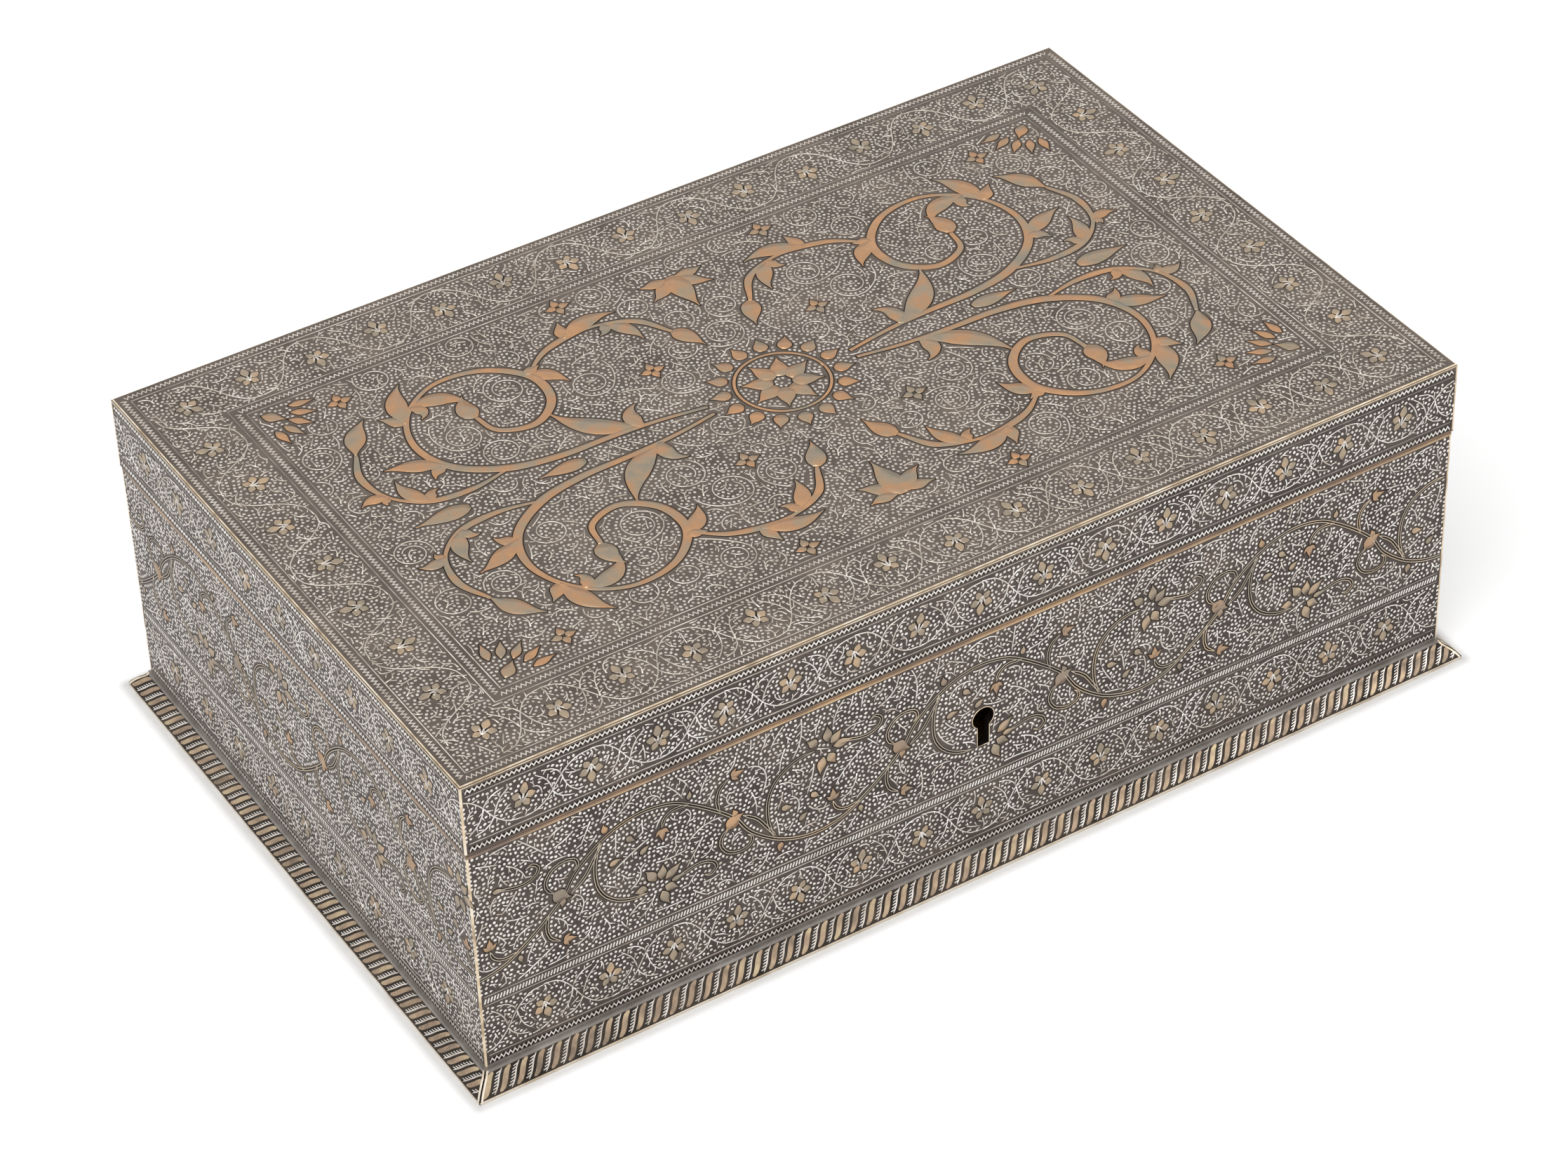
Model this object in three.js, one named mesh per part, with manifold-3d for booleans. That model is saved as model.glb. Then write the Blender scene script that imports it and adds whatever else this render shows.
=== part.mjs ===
// A lidded steel casket for a table top, of the kind that is inlaid all over with gold and silver:
// a deep body on a moulded plinth, a shallow lid on two butt hinges, a thin wood lining, and a box lock
// behind the keyhole, whose bolt slides through two staples that hang from the lid.
// Millimetres, +Z up. The front faces -Y. The origin is on the table, under the middle of the plinth.
import * as THREE from "three";
import { mergeVertices } from "three/addons/utils/BufferGeometryUtils.js";
import Module from "manifold-3d";

// Lid and body, measured outside
const lidLength = 280;
const lidWidth = 175;
const lidHeight = 20.4;
const lidOverhang = 0.3; // how far the lid stands proud of the body on each side
const lidGap = 0.4; // the open line between the closed lid and the body
const bodyHeight = 66.2; // from the top of the plinth to the body's rim
const edgeRound = 0.6; // rounding of the lid's top edges

// Plinth moulding
const plinthHeight = 5.7;
const plinthReach = 4.8; // how far the nose stands out from the body
const plinthLedge = 0.6; // the flat ledge at the foot of the wall
const hollowRun = 1.1; // out from the ledge to where the hollow turns into the swell
const hollowDrop = 1.6; // and down from the ledge
const hollowPull = [0.25, 0.65]; // the point that bends the hollow: out from the ledge, up from its end
const swellPull = [0.9, 1.7]; // the point that bends the swell: in from the nose, and up from it
const noseHeight = 0.9; // the widest place, above the table
const noseInset = 0.4; // how far the bottom edge is drawn in under the nose

// Sheets that the box is brazed up from
const wallThickness = 2;
const lidRimThickness = 1.8;
const lidTopThickness = 1.8;
const baseThickness = 2;
const solder = 0.05; // film between two pieces that are brazed or glued face to face
const mitreGap = 0.12; // what each piece stands back from the diagonal of a mitre

// Keyhole in the middle of the front wall
const keyholeDrop = 25.9; // from the body's rim to the centre of the round part
const keyholeRadius = 3;
const keyholeSlotWidth = 3.2;
const keyholeSlotLength = 8.3; // from the centre of the round part to the foot of the slot

// Wood lining
const floorBoard = 3;
const sideBoard = 3;
const liningDrop = 1; // how far the boards stop short of the body's rim
const lidPanel = 2.4;
const lidBoard = 2.4;
const lidBoardDrop = 0.8; // how far the lid's boards stop short of its lower edge
const boardGap = 0.15; // play between one board and the next

// Hinges
const hingeInset = 54; // from the end of the lid to the middle of the hinge
const hingeLength = 38;
const knuckleCount = 5;
const knuckleGap = 0.2; // between one knuckle and the next
const leafHeight = 14;
const leafThickness = 1;
const pinRadius = 0.9;
const pinClearance = 0.06;
const pinHeadRadius = 1.5;
const pinHeadLength = 0.7;
const hingePlay = 0.1; // between the knuckles and the lid's back

// Rivets and studs
const shankRadius = 0.85;
const shankClearance = 0.08;
const rivetHeadRadius = 1.7;
const rivetHeadHeight = 0.7;
const leafRivets = 3; // in each hinge leaf
const leafRivetMargin = 5; // from the leaf's ends

// Lock case on the inside of the front wall
const caseSheet = 1.2;
const caseFloorMargin = 2.9; // from the foot of the keyhole to the underside of the case
const caseEndClearance = 2.4; // from the withdrawn bolt to the end of the case
const earWidth = 7;
const earHeight = 20;
const studSpacing = 11; // between the two studs of an ear

// Link plate and staples of the lid
const linkSheet = 1.4;
const linkRise = 10.5; // height of its upright leg
const linkEnd = 9; // from a staple to the end of the plate
const stapleX = 14; // left and right of the keyhole
const stapleThickness = 1.6;
const stapleWidth = 6;
const stapleFoot = 2.2; // metal under the eye
const stapleEyeDepth = 8.2; // from the lid's lower edge to the middle of the eye
const eyeClearance = [0.4, 0.5]; // round the prong, across and upright
const stapleFront = 1.4; // from the front wall to the staple
const stapleBehind = 1; // from the staple to the back of the case
const stapleClearance = 0.5; // around a staple in the top of the lock case

// Bolt, its guide pins and its spring
const boltTravel = 5;
const boltThickness = 2;
const barHeight = 7.6;
const barClearance = 1.9; // from the staples' feet to the bar
const barEnd = 6; // from the right guide pin to the end of the bar
const armWidth = 5;
const prongLength = 6;
const prongHeight = 3;
const prongStandoff = 0.6; // between an open bolt's prong and the staple
const talonWidth = 7; // the notch that the key's bit turns in
const talonHeight = 4;
const guideRadius = 1;
const guideClearance = 0.25;
const springSheet = 0.6;
const springWidth = 4;
const springFoot = 3;
const springSpan = 8; // from its foot to where it bears on the bolt
const springBearing = 0.3;

// Fineness of round forms
const roundSides = 24;
const smallSides = 12;
const headRings = 3;
const edgeRings = 4;
const mouldingSteps = 6;

// Heights and places that follow
const bodyLength = lidLength - 2 * lidOverhang;
const bodyWidth = lidWidth - 2 * lidOverhang;
const bodyTop = plinthHeight + bodyHeight;
const lidBottom = bodyTop + lidGap;
const lidTop = lidBottom + lidHeight;
const wallBottom = baseThickness + solder;
const lidPlateBottom = lidTop - lidTopThickness;
const frontFace = -bodyWidth / 2;
const frontInside = frontFace + wallThickness;
const lidFrontInside = -lidWidth / 2 + lidRimThickness;
const bodyBack = bodyWidth / 2;
const lidBack = lidWidth / 2;
const keyholeZ = bodyTop - keyholeDrop;
const caseTop = bodyTop;
const caseBottom = keyholeZ - keyholeSlotLength - caseFloorMargin;
const caseInside = frontInside + stapleFront + stapleWidth + stapleBehind;
const caseBack = caseInside + caseSheet;
const boltLeft = -(stapleX + stapleThickness / 2 + prongStandoff + prongLength + armWidth);
const caseHalf = caseEndClearance + caseSheet - boltLeft;

const colours = {
  inlaidSteel: { color: 0x8b8681, roughness: 0.5, metalness: 0.75 },
  plinthSteel: { color: 0x7d6f5c, roughness: 0.45, metalness: 0.8 },
  plainSteel: { color: 0x5b5a58, roughness: 0.5, metalness: 0.85 },
  brass: { color: 0xb08d4f, roughness: 0.4, metalness: 0.9 },
  wood: { color: 0x8a5a34, roughness: 0.7, metalness: 0 },
};
const materials = Object.fromEntries(
  Object.entries(colours).map(([name, look]) => [name, new THREE.MeshStandardMaterial(look)]),
);

const casket = new THREE.Group();
const body = new THREE.Group();
const lid = new THREE.Group();
casket.add(body, lid);

function place(group, name, geometry, material, turn = 0) {
  const mesh = new THREE.Mesh(geometry, materials[material]);
  mesh.name = name;
  mesh.rotation.z = turn;
  group.add(mesh);
}

// Cutting and joining of closed meshes
const wasm = await Module();
wasm.setup();

function toSolid(geometry) {
  const bare = geometry.clone();
  bare.deleteAttribute("normal");
  bare.deleteAttribute("uv");
  const merged = mergeVertices(bare, 1e-4);
  return new wasm.Manifold(
    new wasm.Mesh({
      numProp: 3,
      vertProperties: merged.attributes.position.array,
      triVerts: new Uint32Array(merged.index.array),
    }),
  );
}

function toGeometry(solid) {
  const mesh = solid.getMesh();
  const geometry = new THREE.BufferGeometry();
  geometry.setAttribute("position", new THREE.BufferAttribute(mesh.vertProperties, 3));
  geometry.setIndex(new THREE.BufferAttribute(mesh.triVerts, 1));
  geometry.computeVertexNormals();
  return geometry;
}

function joined(pieces) {
  return pieces.map(toSolid).reduce((whole, piece) => whole.add(piece));
}

function cut(solid, tools) {
  return toGeometry(tools.map(toSolid).reduce((left, tool) => left.subtract(tool), solid));
}

// Basic forms, placed by their limits along X, Y and Z
function block([x0, x1], [y0, y1], [z0, z1]) {
  const geometry = new THREE.BoxGeometry(x1 - x0, y1 - y0, z1 - z0);
  return geometry.translate((x0 + x1) / 2, (y0 + y1) / 2, (z0 + z1) / 2);
}

// A flat outline drawn in X and Z, thickened along Y
function platedAlongY(shape, [y0, y1], curveSegments = smallSides) {
  const geometry = new THREE.ExtrudeGeometry(shape, {
    depth: y1 - y0,
    bevelEnabled: false,
    curveSegments,
  });
  return geometry.rotateX(Math.PI / 2).translate(0, y1, 0);
}

// A flat outline drawn in Y and Z, thickened along X
function platedAlongX(shape, [x0, x1], curveSegments = smallSides) {
  const geometry = new THREE.ExtrudeGeometry(shape, {
    depth: x1 - x0,
    bevelEnabled: false,
    curveSegments,
  });
  return geometry.rotateX(Math.PI / 2).rotateZ(Math.PI / 2).translate(x0, 0, 0);
}

function rod(radius, [start, end], sides) {
  const geometry = new THREE.CylinderGeometry(radius, radius, end - start, sides);
  return geometry.translate(0, (start + end) / 2, 0);
}

const rodAlongX = (radius, span, y, z, sides) =>
  rod(radius, span, sides).rotateZ(-Math.PI / 2).translate(0, y, z);
const rodAlongY = (radius, span, x, z, sides) => rod(radius, span, sides).translate(x, 0, z);

// The polygon of a bore lies outside the true circle, so that a round shaft turns freely in it
const boreRadius = (radius, sides) => radius / Math.cos(Math.PI / sides);

function rectangle(x0, x1, y0, y1) {
  const corners = [
    [x0, y0],
    [x1, y0],
    [x1, y1],
    [x0, y1],
  ];
  return corners.map(([x, y]) => new THREE.Vector2(x, y));
}

// A straight strip along one side of the box, with both ends cut on the diagonal of the corner.
// The profile is drawn as distance out from the face, and height. The strip is made for the front.
function mitredStrip(profile, faceReach, faceHalf) {
  const geometry = new THREE.ExtrudeGeometry(new THREE.Shape(profile), { depth: 2, bevelEnabled: false });
  const position = geometry.getAttribute("position");
  for (let i = 0; i < position.count; i++) {
    const out = position.getX(i);
    const height = position.getY(i);
    const end = 1 - position.getZ(i);
    position.setXYZ(i, end * (faceHalf + out - mitreGap), -(faceReach + out), height);
  }
  return geometry;
}

const sides = [
  { name: "front", turn: 0, along: "length" },
  { name: "right", turn: Math.PI / 2, along: "width" },
  { name: "back", turn: Math.PI, along: "length" },
  { name: "left", turn: -Math.PI / 2, along: "width" },
];

// Reach and half length of the face on one side of a box with the given length and width
function faceOf(side, length, width) {
  return side.along === "length" ? [width / 2, length / 2] : [length / 2, width / 2];
}

// Rivets: a round shank towards -Y and a domed head towards +Y, seated on the plane y = 0
function rivet(shankLength) {
  const profile = [new THREE.Vector2(0, -shankLength), new THREE.Vector2(shankRadius, -shankLength)];
  profile.push(new THREE.Vector2(shankRadius, 0));
  for (let i = 0; i < headRings; i++) {
    const angle = ((i / headRings) * Math.PI) / 2;
    profile.push(
      new THREE.Vector2(rivetHeadRadius * Math.cos(angle), solder + rivetHeadHeight * Math.sin(angle)),
    );
  }
  profile.push(new THREE.Vector2(0, solder + rivetHeadHeight));
  return new THREE.LatheGeometry(profile, smallSides);
}

const rivetHole = (x, z, span) =>
  rodAlongY(boreRadius(shankRadius + shankClearance, smallSides), span, x, z, smallSides);

// Body: base plate, four walls with the keyhole, plinth
function keyholeCutter() {
  const half = keyholeSlotWidth / 2;
  const angle = Math.asin(half / keyholeRadius);
  const shape = new THREE.Shape();
  shape.moveTo(-half, keyholeZ - keyholeSlotLength);
  shape.lineTo(half, keyholeZ - keyholeSlotLength);
  shape.absarc(0, keyholeZ, keyholeRadius, angle - Math.PI / 2, (3 * Math.PI) / 2 - angle, false);
  return platedAlongY(shape, [frontFace - 1, frontInside + 1], roundSides);
}

// The moulding's section: a ledge, a slight hollow, a swell down to the nose, and an edge drawn in below
function plinthProfile() {
  const shape = new THREE.Shape();
  shape.moveTo(solder, 0);
  shape.lineTo(plinthReach - noseInset, 0);
  shape.quadraticCurveTo(plinthReach, 0, plinthReach, noseHeight);
  const turn = [plinthLedge + hollowRun, plinthHeight - hollowDrop];
  shape.quadraticCurveTo(plinthReach - swellPull[0], noseHeight + swellPull[1], ...turn);
  shape.quadraticCurveTo(plinthLedge + hollowPull[0], turn[1] + hollowPull[1], plinthLedge, plinthHeight);
  shape.lineTo(solder, plinthHeight);
  return shape.getPoints(mouldingSteps);
}

function leafRivetPlaces(centre) {
  const span = hingeLength - 2 * leafRivetMargin;
  return Array.from(
    { length: leafRivets },
    (_, i) => centre - span / 2 + (i * span) / (leafRivets - 1),
  );
}

const hingeX = lidLength / 2 - hingeInset;
const hingeCentres = { left: -hingeX, right: hingeX };
const knuckleRadius = pinRadius + pinClearance + leafThickness;
const axisY = lidBack + hingePlay + knuckleRadius;
const axisZ = bodyTop + lidGap / 2;
const leafEdge = knuckleRadius + 2 * knuckleGap; // from the pin's axis to the leaf's plain edge
const leafRivetRise = (leafEdge + leafHeight) / 2; // from the pin's axis to the row of rivets

function backRivetHoles(z, faceY, thickness) {
  const span = [faceY - thickness - 1, faceY + 1];
  return Object.values(hingeCentres).flatMap((centre) =>
    leafRivetPlaces(centre).map((x) => rivetHole(x, z, span)),
  );
}

function buildBody() {
  const [halfLength, halfWidth] = [bodyLength / 2, bodyWidth / 2];
  place(
    body,
    "base_plate",
    block([-halfLength, halfLength], [-halfWidth, halfWidth], [0, baseThickness]),
    "plainSteel",
  );
  for (const side of sides) {
    const [reach, half] = faceOf(side, bodyLength, bodyWidth);
    let wall = mitredStrip(rectangle(-wallThickness, 0, wallBottom, bodyTop), reach, half);
    if (side.name === "front") {
      wall = cut(toSolid(wall), [keyholeCutter()]);
    }
    if (side.name === "back") {
      // the wall is made facing the front and turned, and the rivets lie alike left and right
      const holes = backRivetHoles(axisZ - leafRivetRise, bodyBack, wallThickness);
      wall = cut(toSolid(wall), holes.map((hole) => hole.rotateZ(Math.PI)));
    }
    place(body, `${side.name}_wall`, wall, "inlaidSteel", side.turn);
    place(body, `plinth_${side.name}`, mitredStrip(plinthProfile(), reach, half), "plinthSteel", side.turn);
  }
}

// Lid: top plate with softened edges and four rim strips
function lidPlate() {
  const rings = [[lidPlateBottom, 0]];
  for (let i = 0; i <= edgeRings; i++) {
    const angle = ((i / edgeRings) * Math.PI) / 2;
    rings.push([
      lidTop - edgeRound + edgeRound * Math.sin(angle),
      edgeRound - edgeRound * Math.cos(angle),
    ]);
  }
  const steps = rings.length - 1;
  const geometry = new THREE.BoxGeometry(2, 2, steps, 1, 1, steps);
  const position = geometry.getAttribute("position");
  for (let i = 0; i < position.count; i++) {
    const [height, inset] = rings[Math.round(position.getZ(i) + steps / 2)];
    position.setXYZ(
      i,
      position.getX(i) * (lidLength / 2 - inset),
      position.getY(i) * (lidWidth / 2 - inset),
      height,
    );
  }
  return geometry;
}

function buildLid() {
  place(lid, "lid_top", lidPlate(), "inlaidSteel");
  const rimTop = lidPlateBottom - solder;
  for (const side of sides) {
    const [reach, half] = faceOf(side, lidLength, lidWidth);
    let rim = mitredStrip(rectangle(-lidRimThickness, 0, lidBottom, rimTop), reach, half);
    if (side.name === "back") {
      const holes = backRivetHoles(axisZ + leafRivetRise, lidBack, lidRimThickness);
      rim = cut(toSolid(rim), holes.map((hole) => hole.rotateZ(Math.PI)));
    }
    place(lid, `lid_rim_${side.name}`, rim, "inlaidSteel", side.turn);
  }
}

// A board with a notch in its top or bottom edge, drawn in X and Z
function notchedBoard([x0, x1], [z0, z1], notchHalf, notchZ, fromTop) {
  const [plainEdge, notchedEdge] = fromTop ? [z0, z1] : [z1, z0];
  const shape = new THREE.Shape();
  shape.moveTo(x0, plainEdge);
  shape.lineTo(x1, plainEdge);
  shape.lineTo(x1, notchedEdge);
  shape.lineTo(notchHalf, notchedEdge);
  shape.lineTo(notchHalf, notchZ);
  shape.lineTo(-notchHalf, notchZ);
  shape.lineTo(-notchHalf, notchedEdge);
  shape.lineTo(x0, notchedEdge);
  return shape;
}

// Four boards round a tray, the long ones from end to end and the short ones between them.
// The front board is cut out round the lock, or round the link plate.
function liningBoards(group, prefix, halfLength, halfWidth, board, heights, notch) {
  const alongX = [-halfLength, halfLength];
  const inner = halfWidth - board - boardGap;
  const frontSpan = [-halfWidth, -halfWidth + board];
  const frontShape = notchedBoard(alongX, heights, notch.half, notch.z, notch.fromTop);
  place(group, `${prefix}_front`, platedAlongY(frontShape, frontSpan), "wood");
  place(group, `${prefix}_back`, block(alongX, [halfWidth - board, halfWidth], heights), "wood");
  place(group, `${prefix}_left`, block([-halfLength, -halfLength + board], [-inner, inner], heights), "wood");
  place(group, `${prefix}_right`, block([halfLength - board, halfLength], [-inner, inner], heights), "wood");
}

function buildLining() {
  const bodyHalves = [bodyLength / 2 - wallThickness - solder, bodyWidth / 2 - wallThickness - solder];
  const floorTop = wallBottom + floorBoard;
  const spans = bodyHalves.map((half) => [-half, half]);
  place(body, "lining_floor", block(...spans, [wallBottom, floorTop]), "wood");
  const lockNotch = { half: caseHalf + earWidth + boardGap, z: caseBottom - boardGap, fromTop: true };
  const bodyHeights = [floorTop + solder, bodyTop - liningDrop];
  liningBoards(body, "lining", ...bodyHalves, sideBoard, bodyHeights, lockNotch);

  const lidHalves = [lidLength / 2 - lidRimThickness - solder, lidWidth / 2 - lidRimThickness - solder];
  const panelTop = lidPlateBottom - solder;
  const panelBottom = panelTop - lidPanel;
  const lidSpans = lidHalves.map((half) => [-half, half]);
  place(lid, "lid_lining_panel", block(...lidSpans, [panelBottom, panelTop]), "wood");
  const linkNotch = { half: stapleX + linkEnd + boardGap, z: lidBottom + linkRise + boardGap, fromTop: false };
  const lidHeights = [lidBottom + lidBoardDrop, panelBottom - solder];
  liningBoards(lid, "lid_lining", ...lidHalves, lidBoard, lidHeights, linkNotch);
}

// Hinges: leaves with rolled knuckles, turned pins and rivets
const knucklePitch = hingeLength / knuckleCount;

function hingeLeaf(centre, faceY, direction, firstKnuckle) {
  const face = [faceY + solder, faceY + solder + leafThickness];
  const upright = (near, far) => [axisZ + direction * near, axisZ + direction * far].sort((a, b) => a - b);
  const ends = [centre - hingeLength / 2, centre + hingeLength / 2];
  const pieces = [block(ends, face, upright(leafEdge, leafHeight))];
  for (let i = firstKnuckle; i < knuckleCount; i += 2) {
    const start = ends[0] + i * knucklePitch + knuckleGap / 2;
    const span = [start, start + knucklePitch - knuckleGap];
    pieces.push(block(span, face, upright(0, leafEdge + 1)));
    pieces.push(rodAlongX(knuckleRadius, span, axisY, axisZ, roundSides));
  }
  const bore = rodAlongX(
    boreRadius(pinRadius + pinClearance, roundSides),
    [ends[0] - 1, ends[1] + 1],
    axisY,
    axisZ,
    roundSides,
  );
  const holes = leafRivetPlaces(centre).map((x) =>
    rivetHole(x, axisZ + direction * leafRivetRise, [face[0] - 1, face[1] + 1]),
  );
  return cut(joined(pieces), [bore, ...holes]);
}

function hingePin(centre) {
  const end = hingeLength / 2 + knuckleGap;
  const dome = end + pinHeadLength;
  const half = [
    [pinRadius, end],
    [pinHeadRadius, end],
    [pinHeadRadius, end + pinHeadLength / 2],
    [pinHeadRadius * 0.6, dome],
    [0, dome],
  ];
  const lower = half.map(([radius, along]) => new THREE.Vector2(radius, -along)).reverse();
  const upper = half.map(([radius, along]) => new THREE.Vector2(radius, along));
  const geometry = new THREE.LatheGeometry([...lower, ...upper], roundSides);
  return geometry.rotateZ(-Math.PI / 2).translate(centre, axisY, axisZ);
}

function buildHinges() {
  const leaves = [
    { group: body, name: "body", faceY: bodyBack, direction: -1, firstKnuckle: 0, sheet: wallThickness },
    { group: lid, name: "lid", faceY: lidBack, direction: 1, firstKnuckle: 1, sheet: lidRimThickness },
  ];
  for (const [hand, centre] of Object.entries(hingeCentres)) {
    for (const leaf of leaves) {
      const { group, name, faceY, direction, firstKnuckle, sheet } = leaf;
      place(group, `hinge_leaf_${name}_${hand}`, hingeLeaf(centre, faceY, direction, firstKnuckle), "plainSteel");
      const seat = faceY + solder + leafThickness;
      const shank = leafThickness + solder + sheet;
      leafRivetPlaces(centre).forEach((x, i) => {
        const geometry = rivet(shank).translate(x, seat, axisZ + direction * leafRivetRise);
        place(group, `hinge_rivet_${name}_${hand}_${i + 1}`, geometry, "plainSteel");
      });
    }
    place(body, `hinge_pin_${hand}`, hingePin(centre), "plainSteel");
  }
}

// Lock: case on the front wall, bolt, guide pins and spring
const studZ = (caseBottom + caseTop) / 2;
const stapleY = frontInside + stapleFront + stapleWidth / 2;
const boltBack = stapleY + boltThickness / 2;
const caseRoof = caseTop - caseSheet;
const prongZ = lidBottom - stapleEyeDepth;
const eyeHalf = [boltThickness / 2 + eyeClearance[0], prongHeight / 2 + eyeClearance[1]];
const stapleEnd = prongZ - eyeHalf[1] - stapleFoot;
const barTop = stapleEnd - barClearance;
const barBottom = barTop - barHeight;
const guideZ = (barBottom + talonHeight + barTop) / 2;
const guideX = [-stapleX, stapleX];

function lockCase() {
  const wallSide = frontInside + solder;
  const outer = block([-caseHalf, caseHalf], [wallSide, caseBack], [caseBottom, caseTop]);
  const earSpan = [studZ - earHeight / 2, studZ + earHeight / 2];
  const earEnd = caseHalf + earWidth;
  const ears = block([-earEnd, earEnd], [wallSide, wallSide + caseSheet], earSpan);
  const hollowX = caseHalf - caseSheet;
  const hollow = block([-hollowX, hollowX], [wallSide - 1, caseInside], [caseBottom + caseSheet, caseRoof]);
  const slots = [-stapleX, stapleX].map((x) => {
    const reach = stapleThickness / 2 + stapleClearance;
    const back = stapleY + stapleWidth / 2 + stapleClearance;
    return block([x - reach, x + reach], [wallSide - 1, back], [caseRoof - 1, caseTop + 1]);
  });
  const holes = earStuds().map(([x, z]) => rivetHole(x, z, [wallSide - 1, wallSide + caseSheet + 1]));
  return cut(joined([outer, ears]), [hollow, ...slots, ...holes]);
}

function earStuds() {
  const x = caseHalf + earWidth / 2;
  return [-x, x].flatMap((side) => [-1, 1].map((end) => [side, studZ + (end * studSpacing) / 2]));
}

// The bolt is drawn withdrawn: its prongs point at the staples, which lie to their right
function lockBolt() {
  const prongTips = [-stapleX, stapleX].map((x) => x - stapleThickness / 2 - prongStandoff);
  const [prongLow, prongHigh] = [prongZ - prongHeight / 2, prongZ + prongHeight / 2];
  const talonLeft = -boltTravel / 2 - talonWidth / 2;
  const barRight = stapleX + barEnd;
  const shape = new THREE.Shape();
  shape.moveTo(boltLeft, barBottom);
  shape.lineTo(talonLeft, barBottom);
  shape.lineTo(talonLeft, barBottom + talonHeight);
  shape.lineTo(talonLeft + talonWidth, barBottom + talonHeight);
  shape.lineTo(talonLeft + talonWidth, barBottom);
  shape.lineTo(barRight, barBottom);
  shape.lineTo(barRight, barTop);
  for (const tip of [...prongTips].reverse()) {
    shape.lineTo(tip - prongLength, barTop);
    shape.lineTo(tip - prongLength, prongLow);
    shape.lineTo(tip, prongLow);
    shape.lineTo(tip, prongHigh);
    shape.lineTo(tip - prongLength - armWidth, prongHigh);
    if (tip !== prongTips[0]) shape.lineTo(tip - prongLength - armWidth, barTop);
  }
  const reach = guideRadius + guideClearance;
  for (const x of guideX) {
    const slot = new THREE.Path();
    slot.absarc(x, guideZ, reach, -Math.PI / 2, Math.PI / 2, false);
    slot.absarc(x - boltTravel, guideZ, reach, Math.PI / 2, (3 * Math.PI) / 2, false);
    shape.holes.push(slot);
  }
  return platedAlongY(shape, [boltBack - boltThickness, boltBack]);
}

// A flat spring: a foot under the roof of the case, and a bow that bears on the bolt's bar.
// It stands midway between the reach of the left prong and the right arm.
function boltSpring() {
  const top = caseRoof - solder;
  const bow = top - springSheet - barTop - springBearing;
  const prongReach = boltLeft + armWidth + prongLength + boltTravel;
  const rightArm = boltLeft + 2 * stapleX;
  const footLeft = (prongReach + rightArm + springSpan) / 2;
  const footRight = footLeft + springFoot;
  const shape = new THREE.Shape();
  shape.moveTo(footRight, top);
  shape.lineTo(footLeft, top);
  shape.bezierCurveTo(footLeft - springSpan, top, footLeft, top - bow, footLeft - springSpan, top - bow);
  shape.lineTo(footLeft - springSpan, top - bow - springSheet);
  shape.bezierCurveTo(
    footLeft + springSheet,
    top - bow - springSheet,
    footLeft - springSpan + springSheet,
    top - springSheet,
    footLeft,
    top - springSheet,
  );
  shape.lineTo(footRight, top - springSheet);
  return platedAlongY(shape, [stapleY - springWidth / 2, stapleY + springWidth / 2]);
}

function buildLock() {
  place(body, "lock_case", lockCase(), "plainSteel");
  place(body, "lock_bolt", lockBolt(), "brass");
  place(body, "lock_spring", boltSpring(), "plainSteel");
  const pinSpan = [boltBack - boltThickness - 1, caseInside - solder];
  guideX.forEach((x, i) => {
    const pin = rodAlongY(guideRadius, pinSpan, x, guideZ, smallSides);
    place(body, `lock_guide_pin_${i + 1}`, pin, "plainSteel");
  });
  const seat = frontInside + solder + caseSheet;
  earStuds().forEach(([x, z], i) => {
    place(body, `lock_stud_${i + 1}`, rivet(caseSheet).translate(x, seat, z), "plainSteel");
  });
}

// Link plate under the lid's front rim, with its two staples and two studs
function buildLinkPlate() {
  const back = lidFrontInside + solder;
  const [foot, half] = [stapleY + stapleWidth / 2 + linkSheet, stapleX + linkEnd];
  const shape = new THREE.Shape();
  shape.moveTo(back, lidBottom);
  shape.lineTo(foot, lidBottom);
  shape.lineTo(foot, lidBottom + linkSheet);
  shape.lineTo(back + linkSheet, lidBottom + linkSheet);
  shape.lineTo(back + linkSheet, lidBottom + linkRise);
  shape.lineTo(back, lidBottom + linkRise);
  const angle = toSolid(platedAlongX(shape, [-half, half]));
  const studHeight = lidBottom + (linkRise + linkSheet) / 2;
  const studPlaces = [-stapleX, stapleX];
  const holes = studPlaces.map((x) => rivetHole(x, studHeight, [back - 1, back + linkSheet + 1]));
  place(lid, "link_plate", cut(angle, holes), "plainSteel");
  studPlaces.forEach((x, i) => {
    const geometry = rivet(linkSheet).translate(x, back + linkSheet, studHeight);
    place(lid, `link_stud_${i + 1}`, geometry, "plainSteel");
  });
  for (const [hand, x] of [["left", -stapleX], ["right", stapleX]]) {
    const span = [x - stapleThickness / 2, x + stapleThickness / 2];
    place(lid, `lid_staple_${hand}`, platedAlongX(stapleShape(), span), "plainSteel");
  }
}

function stapleShape() {
  const radius = stapleWidth / 2;
  const top = lidBottom - solder;
  const arcCentre = stapleEnd + radius;
  const shape = new THREE.Shape();
  shape.moveTo(stapleY + radius, top);
  shape.lineTo(stapleY - radius, top);
  shape.absarc(stapleY, arcCentre, radius, Math.PI, 2 * Math.PI, false);
  const [across, upright] = eyeHalf;
  const eye = rectangle(stapleY - across, stapleY + across, prongZ - upright, prongZ + upright);
  shape.holes.push(new THREE.Path(eye));
  return shape;
}

buildBody();
buildLid();
buildLining();
buildHinges();
buildLock();
buildLinkPlate();

export default casket;
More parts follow.
